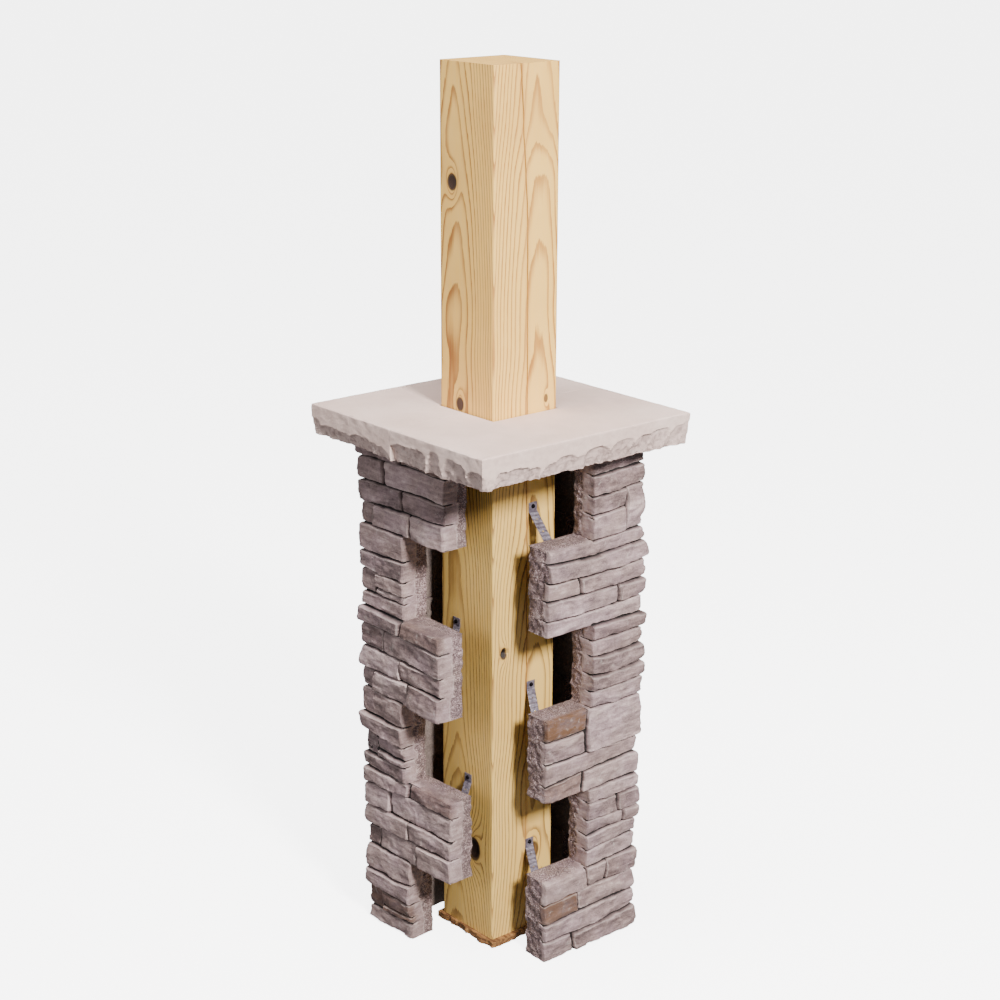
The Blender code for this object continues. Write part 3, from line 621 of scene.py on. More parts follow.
    # the flat inside: a fan of triangles for each leg in each half
    iCorner, jMiddle = np.abs(tLines).argmin(), np.abs(qLines - middle).argmin()
    lastRow = outerCount + (rowCount - 1) * rimCount
    hub = outerCount + rowCount * rimCount
    hubs = [(wall, wall, middle)]
    triangles = []
    for side, sign in legSigns.items():
        for upper in (True, False):
            iEnd, iOther = (np.abs(tLines - sign * reach[side][half]).argmin() for half in (upper, not upper))
            jEnd = len(qLines) - 1 if upper else 0
            step = 1 if upper else -1
            alongMiddle = np.arange(iOther, iEnd, sign) if (iEnd - iOther) * sign > 0 else np.arange(0)
            upEnd = np.arange(jMiddle, jEnd, step)
            alongBed = np.arange(iEnd, iCorner - sign, -sign)
            pathI = np.concatenate([alongMiddle, np.full(len(upEnd), iEnd), alongBed])
            pathJ = np.concatenate([np.full(len(alongMiddle), jMiddle), upEnd, np.full(len(alongBed), jEnd)])
            loop = np.concatenate([[hub], lastRow + rimIds[pathI, pathJ]])
            centre = hub + len(hubs)
            reachHere = (wall + reach[side][upper]) / 2
            level = (middle + (s["height"] if upper else 0.0)) / 2
            hubs.append((reachHere, wall, level) if side == "right" else (wall, reachHere, level))
            fan = np.stack([np.full(len(loop), centre), loop, np.roll(loop, -1)], 1)
            triangles.append(fan[:, ::-1] if sign * step > 0 else fan)
    points = np.concatenate(points + [hubs])
    # the hubs lie on the inner faces, so they take full grit and the inside mark for the painted shade
    fields.append(np.repeat([[0], [0], [1], [0], [1], [1]], len(hubs), 1))

    # stand the unit in its place
    angle, half = math.radians(turn + unitTurn), s["wrapWidth"] / 2
    cos, sin = math.cos(angle), math.sin(angle)
    turned = points @ np.array([(cos, sin, 0), (-sin, cos, 0), (0, 0, 1)])
    turned += (direction[0] * half + shiftX, direction[1] * half + shiftY, tier * (s["height"] + touchGap))
    makePiece(name, "_stone", turned, np.concatenate(quads), np.concatenate(triangles), material,
              42, dict(zip(castFields, np.concatenate(fields, 1))))


def castStone():
    # each stone's tone, clouded and streaked and lighter where the face stands out, under brown stain, pits,
    # pale bloom, a painted highlight on the arrises, dark joints and painted shade on the inner faces
    made, inches = newMaterial("cast_stone_look", 0.9)
    tone, brown, inStone, worn, grit, inside = (inches.attribute(field) for field in castFields)
    blotches, clouds = inches.noise(0.35, 4.0, 0.6), inches.stretched(1, 1, 2.0).noise(1.1, 6.0, 0.68)
    grains, coarse = inches.noise(11.0, 3.0, 0.65), inches.noise(3.4, 4.0, 0.65)
    streaks = inches.stretched(0.5, 0.5, 4.5).noise(1.0, 5.0, 0.62)
    # worn makes the colour lighter where the face stands out and darker where it is cut back or pitted
    light = tone * 0.42 + (clouds - 0.5) * 1.3 + (blotches - 0.5) * 0.7 + worn * 0.18 + 0.45
    light = light + (streaks - 0.5) * 0.8 * (1 - grit) + (grains - 0.5) * (grit * 3.2 + 0.6)
    colour = light.clamped().ramp(rgb(96, 80, 80), rgb(158, 137, 135), rgb(210, 190, 184))
    colour = blotches.eased(0.42, 0.62).mix(colour, (0.95, 0.93, 1.0, 1.0), "MULTIPLY")
    colour = (brown * clouds.eased(0.2, 0.6)).clamped().mix(colour, rgb(102, 72, 50))
    pits = coarse.eased(0.60, 0.68) * (grit * 0.75 + 0.12)
    colour = pits.mix(colour, rgb(66, 56, 54))
    pale = inches.noise(1.8, 6.0, 0.7).eased(0.56, 0.74) * (0.4 - grit * 0.2)
    colour = pale.mix(colour, rgb(208, 198, 192))
    # painted highlight: a pale band along each stone's rounded arris, left off the gritty faces
    arris = inStone.eased(0.62, 0.9) * (1 - inStone.eased(0.92, 1.0)) * (1 - grit)
    colour = (arris * 0.24).mix(colour, rgb(214, 200, 194))
    joint = 1 - inStone.eased(0.08, 0.72)
    colour = (joint * 0.97).mix(colour, rgb(22, 16, 16))
    # painted shade: the inner faces of the walls, marked inside, are darkened as if unlit
    colour = (inside * 0.8).mix(colour, rgb(104, 92, 84))
    bump = clouds * 0.06 + coarse * (grit * 0.07 + 0.03) + grains * (grit * 0.03 + 0.012) - pits * 0.04
    bump = bump + streaks * (1 - grit) * 0.05
    return finish(made, colour, height=bump)


# Cap stone

capSizes = {
    "overhang": 1.985, "thickness": 2.22, "seamX": -0.33, "seamGap": 0.03, "holeClearance": 0.09,
    "edgeRise": 0.06, "arris": 0.10, "bedInsets": (0.5, 1.5), "crumb": 0.09, "topWave": 0.02,
    "alongStep": 0.1, "topRows": 30, "sideRows": 40, "bedRows": 6, "holeRows": 3, "openSideLean": -0.5,
    "struckCentre": (1.0, 1.2), "struckSlope": 1.4, "struckFullness": 3, "struckLip": 0.32,
    "cornerChips": 0.45, "cornerReach": 0.9, "faceWave": 0.02, "batter": 0.05, "arrisWave": 0.03,
    "lowerLift": 0.03, "lowerWave": 0.05, "fullChip": 0.15,
    "chips": {
        "every": (0.8, 2.2), "half": (0.6, 1.6), "reach": (0.36, 0.76), "depth": (0.14, 0.36), "lean": 0.6,
    },
    "flakes": {
        "every": (0.5, 1.3), "half": (0.25, 0.6), "reach": (0.18, 0.36), "depth": (0.05, 0.12), "lean": 0.4,
    },
}
postSizes = {
    "width": 5.5, "centre": (-0.26, 0.14), "round": 0.14, "aboveCap": 22.72, "padThickness": 0.4375,
    "upStep": 0.18, "acrossSteps": 15,
}


def struckDepth(s, v, lean, sizes, chance):
    # hollows struck up from the lower edge: parts of leaning, squarish ellipses, of which the deepest counts
    c, depth, place = capSizes, np.zeros(np.broadcast(s, v).shape), 0.0
    while place < s[-1, 0]:
        half, reach, deep = (chance.uniform(*sizes[key]) for key in ("half", "reach", "depth"))
        slant = sizes["lean"] * chance.uniform(-1, 1) + lean[np.argmin(np.abs(s[:, 0] - place))]
        centre = chance.uniform(*c["struckCentre"])
        across = (s - place - c["struckSlope"] * slant * (v - 1)) / half
        up = (v - centre) / (reach + centre - 1)
        tilt = 1 + 0.5 * chance.uniform(-1, 1) * np.clip(across, -1, 1)
        inside = 1 - np.abs(across) ** c["struckFullness"] - np.abs(up) ** c["struckFullness"]
        depth = np.maximum(depth, deep * tilt * np.maximum(inside, 0) ** c["struckLip"])
        place += chance.uniform(*sizes["every"])
    return depth


def makeCapHalf(name, side, seed, material):
    # a section, from the hole over the top, down the broken edge and back under, carried along the outline
    c, chance = capSizes, np.random.RandomState(seed)
    half = unitSizes["wrapWidth"] / 2 + c["overhang"]
    bed = unitSizes["tiers"] * (unitSizes["height"] + touchGap)
    top = bed + c["thickness"]
    seam = c["seamX"] + side * c["seamGap"] / 2
    hole = postSizes["width"] / 2 + c["holeClearance"]
    cx, cy = postSizes["centre"]
    outerStops = side * np.array([(side * seam, -half), (half, -half), (half, half), (side * seam, half)])
    innerStops = np.array([(seam, cy - side * hole), (cx + side * hole, cy - side * hole),
                           (cx + side * hole, cy + side * hole), (seam, cy + side * hole)])
    runs, done = [], 0.0
    for leg in range(3):
        start, end = outerStops[leg], outerStops[leg + 1]
        length = np.linalg.norm(end - start)
        way = (end - start) / length
        share = np.linspace(0, 1, round(length / c["alongStep"]) + 1)[(leg > 0):]
        outer = start + share[:, None] * (end - start)
        inner = innerStops[leg] + share[:, None] * (innerStops[leg + 1] - innerStops[leg])
        ways = np.tile(way, (len(share), 1))
        runs.append((outer, inner, ways, np.full(len(share), leg), share, done + share * length))
        done += length
    outer, inner, ways, legs, share, along = (np.concatenate(parts) for parts in zip(*runs))
    outs = np.stack([ways[:, 1], -ways[:, 0]], 1)
    corners = [int(np.flatnonzero(legs == leg)[-1]) for leg in (0, 1)]

    def inset(depth):
        # outline points moved in by depth, each side drawn shorter by what its neighbours lose at the corners
        lost = np.array([0 * depth[0], depth[corners[0]], depth[corners[1]], 0 * depth[0]])
        drawn = lost[legs] * (1 - share[:, None]) - lost[legs + 1] * share[:, None]
        return outer[:, None] - outs[:, None] * depth[..., None] + ways[:, None] * drawn[..., None]

    # the broken edge
    s, v = along[:, None], np.linspace(0, 1, c["sideRows"])[None, :]
    lean = c["openSideLean"] * (outs[:, 0] > 0.5)
    chips = struckDepth(s, v, lean, c["chips"], chance) + struckDepth(s, v, lean, c["flakes"], chance)
    toCorner = np.minimum(np.abs(s - along[corners[0]]), np.abs(s - along[corners[1]]))
    chips = chips * (c["cornerChips"] + (1 - c["cornerChips"]) * smoothStep(toCorner, 0, c["cornerReach"]))
    depth = chips + c["faceWave"] * hills(s * 1.2 + 7, v * 4 + 0 * s, seed + 1, 4) + c["batter"] * v
    depth = depth + c["crumb"] * np.abs(hills(s * 6, v * 10 + 0 * s, seed + 2, 2)) * smoothStep(v, 0.82, 1.0)
    depth = depth + freeDrop(v * c["thickness"], c["arris"])
    arrisWave = c["arrisWave"] * hills(s * 2.1, 0 * v + 0.5 + 0 * s, seed + 5, 4)
    depth = depth + arrisWave * (1 - smoothStep(v, 0, 0.25))
    rise = c["edgeRise"] * np.clip(np.linalg.norm(outer - (half, -half), axis=1) / (2 * half), 0, 1)
    rise = rise + c["lowerWave"] * hills(along * 2.6, along * 0, seed + 3, 4)
    low = np.maximum(bed + c["lowerLift"] + rise, bed)[:, None]
    sideXY = inset(depth)
    sidePoints = np.concatenate([sideXY, (top - v * (top - low))[..., None]], -1)

    # the top and the underside run from the edge in to the hole
    inward = (np.linspace(0, 1, c["topRows"])[:-1] ** 0.6)[None, :, None]
    topXY = inner[:, None] * (1 - inward) + sideXY[:, :1] * inward
    wave = c["topWave"] * hills(topXY[..., 0] * 0.22 + 9, topXY[..., 1] * 0.22 + 9, 77, 3)
    wave *= smoothStep(inward[..., 0], 0.02, 0.2) * (1 - smoothStep(inward[..., 0], 0.85, 1.0))
    topPoints = np.concatenate([topXY, (top + wave)[..., None]], -1)
    rings = [np.concatenate([inset(np.full((len(outer), 1), reach)), height[..., None]], -1)
             for reach, height in zip(c["bedInsets"], (0.7 * low + 0.3 * bed, 0 * low + bed))]
    innerBed = np.concatenate([inner, np.full((len(inner), 1), bed)], 1)
    inward = np.linspace(0, 1, c["bedRows"])[1:][None, :, None]
    bedPoints = np.concatenate(rings + [rings[1] * (1 - inward) + innerBed[:, None] * inward], 1)
    share = np.linspace(0, 1, c["holeRows"] + 2)[1:-1][None, :, None]
    holePoints = innerBed[:, None] * (1 - share) + topPoints[:, :1] * share
    grid = np.concatenate([topPoints, sidePoints, bedPoints, holePoints], 1)
    points, quads, fans = tube(np.swapaxes(grid, 0, 1), [grid[0].mean(0), grid[-1].mean(0)])
    # the mark carries painted shade and the broken stone's grit: 0 on the top, 0.25 to 1 with the chip's
    # depth on the edge, 0.6 on the underside and in the hole
    chippedAndShadedField = np.zeros(grid.shape[:2])
    first = c["topRows"] - 1
    chippedAndShadedField[:, first:first + c["sideRows"]] = 0.25 + 0.75 * np.clip(chips / c["fullChip"], 0, 1)
    chippedAndShadedField[:, first + c["sideRows"]:] = 0.6
    makePiece(name, "_stone", points, quads, fans, material, 40,
              {"chippedAndShaded": np.append(chippedAndShadedField.T, [0.5, 0.5])})


def capStone():
    # pale clouds with pits and, on the broken edge, its own grit and lighter patches, with painted shade that
    # deepens in the struck hollows and lies on the underside and the hole's faces
    made, inches = newMaterial("cap_stone_look", 0.85)
    chippedAndShaded = inches.attribute("chippedAndShaded")
    clouds, broad = inches.noise(0.28, 5.0, 0.62), inches.noise(0.09, 3.0, 0.5)
    grains, coarse = inches.noise(11.0, 3.0, 0.6), inches.noise(2.6, 5.0, 0.65)
    light = ((clouds - 0.5) * 1.1 + (broad - 0.5) * 1.1 + (grains - 0.5) * 0.25 + 0.5).clamped()
    colour = light.ramp(rgb(190, 164, 154), rgb(214, 189, 179), rgb(228, 206, 196))
    # painted shade: darker over the broken edge the deeper its struck hollows, and on the underside and the
    # hole's faces
    colour = (chippedAndShaded.eased(0.1, 0.8) * 0.6).mix(colour, rgb(184, 162, 157))
    colour = (coarse.eased(0.42, 0.68) * chippedAndShaded * 0.65).mix(colour, rgb(120, 100, 97))
    colour = (inches.noise(1.9, 6.0, 0.7).eased(0.56, 0.72) * chippedAndShaded * 0.5).mix(colour, rgb(226, 210, 202))
    pits = inches.noise(5.0, 2.0, 0.5).eased(0.70, 0.78) * (0.25 + chippedAndShaded * 0.4)
    colour = pits.mix(colour, rgb(112, 98, 94))
    bump = clouds * 0.02 + grains * (0.005 + chippedAndShaded * 0.018) + coarse * chippedAndShaded * 0.06 - pits * 0.02
    return finish(made, colour, height=bump, strength=0.8)


# Timber post

postFaces = {"+X": (1, 0), "+Y": (0, 1), "-X": (-1, 0), "-Y": (0, -1)}
knots = {  # face of the post, place across it, height, half width, half height, darkness, depth of the pit
    "upper_left": ("-Y", -1.71, 53.32, 0.43, 0.50, 0.98, 0.05),
    "at_cap": ("-Y", -0.95, 38.74, 0.34, 0.42, 0.97, 0.05),
    "at_foot": ("-Y", 0.48, 6.75, 0.60, 0.80, 0.99, 0.12),
    "right_small": ("+X", 1.93, 39.09, 0.15, 0.26, 0.8, 0.03),
    "right_hole": ("+X", -1.63, 21.81, 0.27, 0.38, 1.0, 0.45),
    "right_foot": ("+X", 1.15, 6.22, 0.46, 0.62, 0.8, 0.05),
    "upper_back": ("+Y", 1.2, 47.0, 0.38, 0.45, 0.96, 0.05),
    "lower_back": ("-X", -0.8, 51.5, 0.36, 0.45, 0.96, 0.05),
}
dryingCheck = {  # heights, and the check's place across the +X face there
    "heights": (0.0, 25.2, 37.9, 50.5, 55.6, 61.0), "across": (0.5, 0.40, 0.28, 0.24, -0.06, -0.44),
    "halfWidth": 0.04, "depth": 0.5, "stainWidth": 0.2, "wander": 0.03,
}


def makePost(material):
    # a rounded square carried up from the foot, with its check and the pits of its knots let into the faces
    p, d = postSizes, dryingCheck
    half, r, steps = p["width"] / 2, p["round"], p["acrossSteps"]
    cx, cy = p["centre"]
    foot = p["padThickness"] + touchGap
    top = unitSizes["tiers"] * (unitSizes["height"] + touchGap) + capSizes["thickness"] + p["aboveCap"]
    z = np.linspace(foot, top, round((top - foot) / p["upStep"]))
    check = np.interp(z, d["heights"], d["across"]) - cy + d["wander"] * hills(z * 0.5, z * 0, 61, 3)
    openness = np.clip(0.6 + 0.4 * hills(z * 0.12, z * 0 + 3, 62, 3), 0.2, 1.0)
    width = d["halfWidth"] * (0.5 + openness)
    flat = half - r
    columns, stains = [], []
    for face, (nx, ny) in postFaces.items():
        path = [(share * flat + 0 * z, 0 * z) for share in np.linspace(-1, 1, 2 * steps)]
        if face == "+X":
            toCheck, fromCheck = check - width + flat, flat - check - width
            path = [(share * toCheck - flat, 0 * z) for share in np.linspace(0, 1, steps)[:-1]]
            path += [(check + place * width, sunk * d["depth"] * openness)
                     for place, sunk in ((-1, 0.0), (-0.45, 0.7), (0, 1.0), (0.45, 0.7))]
            path += [(check + width + share * fromCheck, 0 * z) for share in np.linspace(0, 1, steps)]
        outs = []
        for across, sunk in path:
            spot = cy + nx * across if nx else cx - ny * across
            for knotFace, place, height, wide, tall, _, pit in knots.values():
                if knotFace == face:
                    distance = np.sqrt(((spot - place) / wide) ** 2 + ((z - height) / tall) ** 2)
                    sunk = sunk + pit * (1 - smoothStep(distance, 0.55, 1.0))
            stain = np.exp(-((across - check) / d["stainWidth"]) ** 2) * (face == "+X")
            outs.append((half - sunk, across, stain))
        for angle in np.linspace(0, math.pi / 2, 6)[1:-1]:
            outs.append((flat + r * math.cos(angle) + 0 * z, flat + r * math.sin(angle) + 0 * z, 0 * z))
        columns += [(cx + nx * out - ny * across, cy + ny * out + nx * across, z) for out, across, _ in outs]
        stains += [stain for _, _, stain in outs]
    points, quads, fans = tube(np.moveaxis(np.array(columns), 1, 2), [(cx, cy, foot), (cx, cy, top)])
    makePiece("timber_post", "_wood", points, quads, fans, material, 35,
              {"stain": np.append(stains, [0, 0])})


def pine():
    # rings about a drifting centre, pushed outwards round the knots, with fibres, knots and stain over them
    made, inches = newMaterial("pine_look", 0.55)
    x, y, z = inches.parts()
    cx, cy = postSizes["centre"]
    half = postSizes["width"] / 2
    driftX, driftY, _ = inches.stretched(0, 0, 0.045).noise(1.0, 2.0, 0.5, output=1).parts()
    across, deep = x - (cx - 1.2) - (driftX - 0.5) * 1.8, y - (cy + 0.9) - (driftY - 0.5) * 1.8
    radius = (across * across + deep * deep) ** 0.5
    radius = radius + z * 0.035 + (inches.stretched(0.4, 0.4, 0.05).noise(1.0, 3.0, 0.5) - 0.5) * 0.35
    marks = None
    for face, place, height, wide, tall, darkness, _ in knots.values():
        nx, ny = postFaces[face]
        onFace = ((x - cx if nx else y - cy) * (nx + ny)).eased(half * 0.45, half * 0.75)
        side, up = ((y if nx else x) - place) / wide, (z - height) / tall
        distance = (side * side + up * up) ** 0.5
        radius = radius + onFace * (1.5 * wide) / (side * side * 0.4 + up * up * 0.12 + 1) ** 2
        parts = ((1 - distance.eased(0.8, 1.05)) * onFace * darkness,
                 distance.eased(0.7, 0.95) * (1 - distance.eased(1.0, 1.25)) * onFace * darkness,
                 (1 - distance.eased(0.9, 2.4)) * onFace)
        marks = parts if marks is None else [new.maths("MAXIMUM", old, new) for old, new in zip(marks, parts)]
    core, rim, halo = marks
    fibres = inches.stretched(14, 14, 0.5).noise(1.0, 4.0, 0.65)
    rings = radius * 6.2 + (fibres - 0.5) * 0.3
    share = rings.maths("FRACT", rings)
    late = share.eased(0.45, 0.92) ** 1.5 * (1 - share.eased(0.94, 1.0))
    strength = inches.stretched(0.8, 0.8, 0.03).noise(1.0, 2.0, 0.5).eased(0.25, 0.75) * 0.5 + 0.5
    lowPart = 1 - z.eased(30.0, 40.0)
    early = lowPart.mix(rgb(238, 194, 114), rgb(222, 188, 118))
    lateColour = lowPart.mix(rgb(138, 88, 40), rgb(104, 78, 42))
    colour = (late * strength).mix(early, lateColour)
    colour = ((fibres - 0.5) * 1.4 + 0.4).clamped().mix(colour, rgb(226, 190, 120), "SOFT_LIGHT")
    colour = (inches.noise(0.15, 3.0, 0.6).eased(0.35, 0.75) * 0.3).mix(colour, rgb(196, 146, 72))
    colour = (inches.attribute("stain") * 0.4 + halo * 0.2).clamped().mix(colour, rgb(196, 136, 70))
    colour = core.mix(colour, rgb(66, 34, 22))
    colour = (rim * 0.9).mix(colour, rgb(28, 14, 10))
    colour = (core.eased(0.95, 1.0) * 0.9).mix(colour, rgb(20, 12, 8))
    bump = late * -0.008 + fibres * 0.006
    return finish(made, colour, roughness=0.5 + late * 0.12, height=bump, strength=0.7)


# Straps and their screws

strapSizes = {
    "width": 0.72, "thickness": 0.04, "alongStep": 0.045, "acrossSteps": 16, "ribPitch": 0.34,
    "ribHeight": 0.034, "holePitch": 1.02, "screwInset": 0.28, "holeRadius": 0.065, "bendRound": 0.12,
    "margin": (0.04, 0.1), "flatHole": (0.12, 0.24), "flatScrew": (0.2, 0.3), "flatHead": 0.2,
    "flatFoot": 0.25,
}
strapPlaces = {  # each strap, and the way that its face of the post looks
    "right_upper": (1.0, 0.0, 0.0), "right_middle": (1.0, 0.0, 0.0), "right_lower": (1.0, 0.0, 0.0),
    "left_upper": (0.0, -1.0, 0.0), "left_lower": (0.0, -1.0, 0.0),
}


def ringsOf(nodeName):
    # a strap's solid has three rings of four points: at its upper end, at its bend and at its foot
    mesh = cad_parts[nodeName].data
    spots = np.unique(np.round([tuple(v.co) for v in mesh.vertices], 6), axis=0) / inch
    spots = spots[np.argsort(-spots[:, 2])]
    return spots[:4], spots[4:8], spots[8:]


def makeStrap(name, out, material):
    # a strip carried down the post and out to the wall, its ribs a sine along it that fades round the holes
    c = strapSizes
    across = np.array([abs(out[1]), abs(out[0]), 0.0])
    rings = ringsOf("strap_" + name)
    centres = np.array([ring.mean(0) for ring in rings])
    footSpread = rings[2] - centres[2]
    widest = footSpread[np.argmax(footSpread @ across)]
    footAcross = widest * [1, 1, 0] / np.linalg.norm(widest[:2])
    lengths = np.linalg.norm(np.diff(centres, axis=0), axis=1)
    total = lengths.sum()
    s = np.linspace(0, total, round(total / c["alongStep"]) + 1)
    u = np.linspace(-0.5, 0.5, c["acrossSteps"] + 1) * c["width"]
    straight = np.stack([np.interp(s, [0, lengths[0], total], centres[:, k]) for k in range(3)], -1)
    eased = smoothStep(s, lengths[0] - c["bendRound"], lengths[0] + c["bendRound"])
    first, second = (centres[1] - centres[0]) / lengths[0], (centres[2] - centres[1]) / lengths[1]
    way = first * (1 - eased[:, None]) + second * eased[:, None]
    turned = np.clip((s - lengths[0]) / lengths[1], 0, 1)[:, None]
    sideways = across * (1 - turned) + footAcross * turned
    normal = np.cross(way, sideways)
    normal /= np.linalg.norm(normal, axis=1)[:, None]
    normal *= np.sign(normal @ out)[:, None]
    sGrid, uGrid = np.meshgrid(s, u, indexing="ij")
    inner = smoothStep(c["width"] / 2 - np.abs(uGrid), *c["margin"])
    holes = np.arange(c["screwInset"] + c["holePitch"], total, c["holePitch"])
    toHole = np.sqrt((sGrid[..., None] - holes) ** 2 + uGrid[..., None] ** 2)
    nearHole = toHole.min(-1)
    toScrew = np.abs(sGrid - c["screwInset"])
    flatHere = smoothStep(nearHole, *c["flatHole"]) * smoothStep(toScrew, *c["flatScrew"])
    ribs = c["ribHeight"] * np.sin(sGrid * 2 * math.pi / c["ribPitch"]) * inner * flatHere
    ribs *= smoothStep(sGrid, 0.0, c["flatHead"]) * (1 - smoothStep(sGrid, total - c["flatFoot"], total))

    # points near a hole's rim move onto it, and the cells inside it are left out
    which = holes[np.argmin(toHole, -1)]
    pull = (nearHole < c["holeRadius"] * 1.45) & (nearHole > c["holeRadius"] * 0.55)
    scale = np.where(pull, c["holeRadius"] / np.maximum(nearHole, tiny), 1.0)
    sShift, uHere = (sGrid - which) * (scale - 1), uGrid * scale
    points = straight[:, None] + way[:, None] * sShift[..., None] + sideways[:, None] * uHere[..., None]
    points = points + normal[:, None] * ribs[..., None]
    ids = np.arange(sGrid.size).reshape(sGrid.shape)
    a = np.stack([ids[:-1, :-1], ids[1:, :-1], ids[1:, 1:], ids[:-1, 1:]], -1)
    middle = (nearHole[:-1, :-1] + nearHole[1:, 1:]) / 2
    quads = a[middle > c["holeRadius"]]
    if np.dot(np.cross(first, across), out) < 0:
        quads = quads[:, ::-1]
    kept, order = np.unique(quads, return_inverse=True)
    piece = makePiece("strap_" + name, "_strip", points.reshape(-1, 3)[kept], order.reshape(-1, 4), [],
                      material, 60, {})
    solid = piece.modifiers.new("thickness", "SOLIDIFY")
    solid.thickness, solid.offset = c["thickness"] * inch, 0.0


screwHead = {"points": 48, "profile": (     # radius, height over the seat, and how much of a hexagon
    (0.150, 0.0, 0), (0.152, 0.010, 0), (0.145, 0.022, 0), (0.112, 0.024, 1), (0.112, 0.075, 1),
    (0.100, 0.088, 1), (0.070, 0.090, 0.5), (0.050, 0.078, 0))}


def makeScrew(name, out, material):
    # a washer-faced hexagon head: a turned profile whose middle part is drawn out to six flats
    low, high = (np.array(corner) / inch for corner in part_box("screw_" + name))
    seat = (low + high) / 2 - out * np.abs((high - low) @ out) / 2
    side = np.array([abs(out[1]), abs(out[0]), 0.0])
    up = np.cross(out, side)
    profile, height, sixth = np.array(screwHead["profile"]).T
    angle = np.linspace(0, 2 * math.pi, screwHead["points"], endpoint=False)[:, None]
    hexagon = 1 / np.cos((angle + math.pi / 6) % (math.pi / 3) - math.pi / 6)
    radius = (profile * (1 + sixth * (hexagon - 1)))[..., None]
    grid = seat + radius * (np.cos(angle) * side + np.sin(angle) * up)[:, None] + height[:, None] * out
    points, quads, fans = tube(grid, [seat, seat + out * height[-1]])
    makePiece("screw_" + name, "_head", points, quads, fans, material, 30, {})


def galvanised():
    # spangled zinc with dull patches
    made, inches = newMaterial("galvanised_look", 0.45, 0.7)
    spangle = inches.cells(7.0)
    dirt = inches.noise(2.2, 4.0, 0.6)
    colour = spangle.mix(rgb(116, 109, 122), rgb(152, 145, 156))
    colour = (dirt.eased(0.42, 0.68) * 0.6).mix(colour, rgb(88, 78, 88))
    return finish(made, colour, roughness=0.5 + dirt * 0.25, height=dirt * 0.01, strength=0.5)


def darkScrew():
    # a dark coat worn in spots
    made, inches = newMaterial("dark_screw_look", 0.45, 1.0)
    worn = inches.noise(12.0, 3.0, 0.6)
    colour = worn.eased(0.55, 0.75).mix(rgb(38, 34, 38), rgb(74, 66, 66))
    return finish(made, colour, roughness=0.35 + worn * 0.3)


# Strand board under the post

padSizes = {
    "overhang": 0.3, "ragged": 0.15, "aroundPoints": 600, "sideRows": 7, "layerDepth": 0.05,
    "strands": 420, "strandLength": (0.12, 0.55), "strandWidth": (0.03, 0.11), "strandHalf": 0.012,
}


def makePad(material):
    # a torn square: its outline wanders, its side is layered, and loose strands stick out of it
    c, chance = padSizes, np.random.RandomState(8)
    cx, cy = postSizes["centre"]
    half, thick = postSizes["width"] / 2 + c["overhang"], postSizes["padThickness"]
    angle = np.linspace(0, 2 * math.pi, c["aroundPoints"], endpoint=False)
    square = half / np.maximum(np.abs(np.cos(angle)), np.abs(np.sin(angle)))
    ring = angle * 18 / math.pi
    closing = smoothStep(np.minimum(angle, 2 * math.pi - angle), 0, 0.1)
    torn = c["ragged"] * (hills(ring, ring * 0, 71, 4) * closing)
    z = np.linspace(0, 1, c["sideRows"])
    layers = c["layerDepth"] * hills(ring[:, None] * 1.5, z[None, :] * 5, 72, 3) * np.sin(math.pi * z)
    radius = (square + torn)[:, None] + layers
    side = np.stack([cx + radius * np.cos(angle)[:, None], cy + radius * np.sin(angle)[:, None],
                     np.broadcast_to(z * thick, radius.shape)], -1)
    points, quads, fans = tube(side, [(cx, cy, 0.0), (cx, cy, thick)])

    # strands: thin boxes, pointed at one end
    n = c["strands"]
    at = chance.randint(0, c["aroundPoints"], n)
    length, wide = chance.uniform(*c["strandLength"], n), chance.uniform(*c["strandWidth"], n)
    turn = angle[at] + chance.uniform(-1.2, 1.2, n)
    centre = side[at, 0] - 0.12 * np.stack([np.cos(angle[at]), np.sin(angle[at]), 0 * turn], -1)
    centre[:, 2] = chance.uniform(0.04, thick - 0.03, n)
    ahead = np.stack([np.cos(turn), np.sin(turn), chance.uniform(-0.12, 0.12, n)], -1) * length[:, None] / 2
    sideways = np.stack([-np.sin(turn), np.cos(turn), 0 * turn], -1) * wide[:, None] / 2
    lift = np.array([0, 0, c["strandHalf"]])
    box = np.stack([centre + a * ahead * 0.55 + b * sideways * (1.0 if a < 0 else 0.35) + d * lift
                    for d in (-1, 1) for a, b in ((-1, -1), (1, -1), (1, 1), (-1, 1))], 1)
    box[..., 2] = np.clip(box[..., 2], 0.0, thick)
    faces = np.array([(0, 3, 2, 1), (4, 5, 6, 7), (0, 1, 5, 4), (1, 2, 6, 5), (2, 3, 7, 6), (3, 0, 4, 7)])
    boxQuads = len(points) + 8 * np.arange(n)[:, None, None] + faces
    makePiece("chipboard_pad", "_board", np.concatenate([points, box.reshape(-1, 3)]),
              np.concatenate([quads, boxQuads.reshape(-1, 4)]), fans, material, 35, {})


def strandBoard():
    # flat chips of different browns with darker streaks
    made, inches = newMaterial("strand_board_look", 0.8)
    strands = inches.stretched(1.5, 5.0, 9.0).noise(1.0, 4.0, 0.65)
    chips = inches.stretched(2.6, 5.5, 9.0).cells(1.0)
    colour = chips.mix(rgb(100, 66, 34), rgb(164, 120, 70))
    colour = strands.eased(0.4, 0.75).mix(colour, rgb(88, 50, 24))
    return finish(made, colour, height=strands * 0.03 + chips * 0.02, strength=0.8)


# Camera, light and floor

photoView = {"place": (2.5319, -2.1473, 1.8349), "yaw": 49.67, "pitch": 17.191, "roll": 0.208, "lens": 72.83}


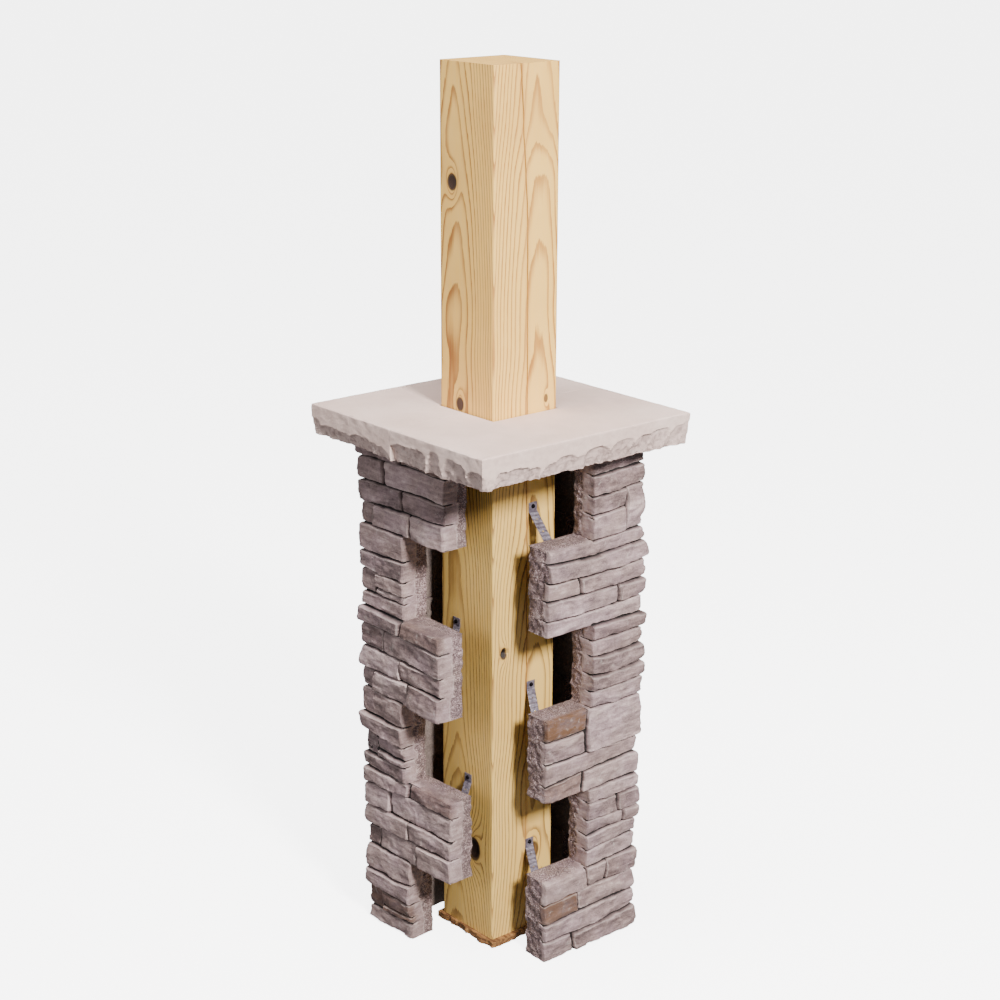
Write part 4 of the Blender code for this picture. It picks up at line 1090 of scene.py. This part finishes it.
def setCamera(view):
    # turned by yaw about +Z from +Y, down by pitch, and then by roll about its own line of sight
    yaw, pitch, roll = (math.radians(view[key]) for key in ("yaw", "pitch", "roll"))
    forward = Vector((-math.sin(yaw) * math.cos(pitch), math.cos(yaw) * math.cos(pitch), -math.sin(pitch)))
    level = Vector((math.cos(yaw), math.sin(yaw), 0.0))
    up = level.cross(forward)
    right = level * math.cos(roll) + up * math.sin(roll)
    up = right.cross(forward)
    data = bpy.data.cameras.new("photo_view")
    data.lens, data.sensor_width = view["lens"], 36.0
    camera = put("photo_view", data)
    axes = Matrix((right, up, -forward)).transposed()
    camera.matrix_world = Matrix.Translation(view["place"]) @ axes.to_4x4()
    bpy.context.scene.camera = camera


lamps = {
    "key_light": {"from": (3.9, -0.9, 3.3), "size": 0.8, "power": 580.0, "colour": (1.0, 0.97, 0.94)},
    "left_fill": {"from": (-1.6, -4.4, 2.2), "size": 2.4, "power": 70.0, "colour": (0.97, 0.96, 1.0)},
    "top_light": {"from": (0.2, -0.8, 4.4), "size": 1.6, "power": 130.0, "colour": (1.0, 0.98, 0.97)},
}
surroundings = {
    "colour": (1.0, 0.98, 0.97, 1.0), "strength": 0.3, "target": Vector((0.0, 0.0, 0.75)),
    "floorHalf": 60.0, "floorColour": (0.9, 0.9, 0.9, 1.0), "floorGlow": 5.0,
}


def setLight():
    # square lamps aimed at the wrap's middle, and a dim white world
    for name, lamp in lamps.items():
        data = bpy.data.lights.new(name, "AREA")
        data.energy, data.size, data.color = lamp["power"], lamp["size"], lamp["colour"]
        aim = (surroundings["target"] - Vector(lamp["from"])).to_track_quat("-Z", "Y")
        put(name, data).matrix_world = Matrix.Translation(lamp["from"]) @ aim.to_matrix().to_4x4()
    world = bpy.data.worlds.new("studio")
    world.use_nodes = True
    backdrop = world.node_tree.nodes["Background"]
    backdrop.inputs["Color"].default_value = surroundings["colour"]
    backdrop.inputs["Strength"].default_value = surroundings["strength"]
    bpy.context.scene.world = world


def setFloor():
    # a pale floor whose glow brightens it alone
    half = surroundings["floorHalf"]
    mesh = bpy.data.meshes.new("floor")
    corners = [(-half, -half, 0), (half, -half, 0), (half, half, 0), (-half, half, 0)]
    mesh.from_pydata(corners, [], [range(4)])
    paint = newMaterial("floor_paint", 0.9)[0]
    setValues(paint, {"Base Color": surroundings["floorColour"], "Emission Color": (1.0, 1.0, 1.0, 1.0),
                      "Emission Strength": surroundings["floorGlow"]})
    mesh.materials.append(paint)
    floor = put("floor", mesh)
    floor.visible_diffuse = floor.visible_glossy = False


setCamera(photoView)
setLight()
setFloor()
print("camera, light and floor are set")

stoneMaterial = castStone()
for stackNumber, stack in enumerate(stacks):
    for tier, tierName in enumerate(tierNames):
        makeUnit(f"{stack}_corner_{tierName}", stack, tier, 10 * (1 + stackNumber) + tier, stoneMaterial)
    print("stack made:", stack)

capMaterial = capStone()
makeCapHalf("cap_half_left", -1, 31, capMaterial)
makeCapHalf("cap_half_right", 1, 32, capMaterial)
makePost(pine())
print("cap stone and post made")

strapMaterial, screwMaterial = galvanised(), darkScrew()
for strapName, facing in strapPlaces.items():
    makeStrap(strapName, np.array(facing), strapMaterial)
    makeScrew(strapName, np.array(facing), screwMaterial)
makePad(strandBoard())
print("straps, screws and board made")
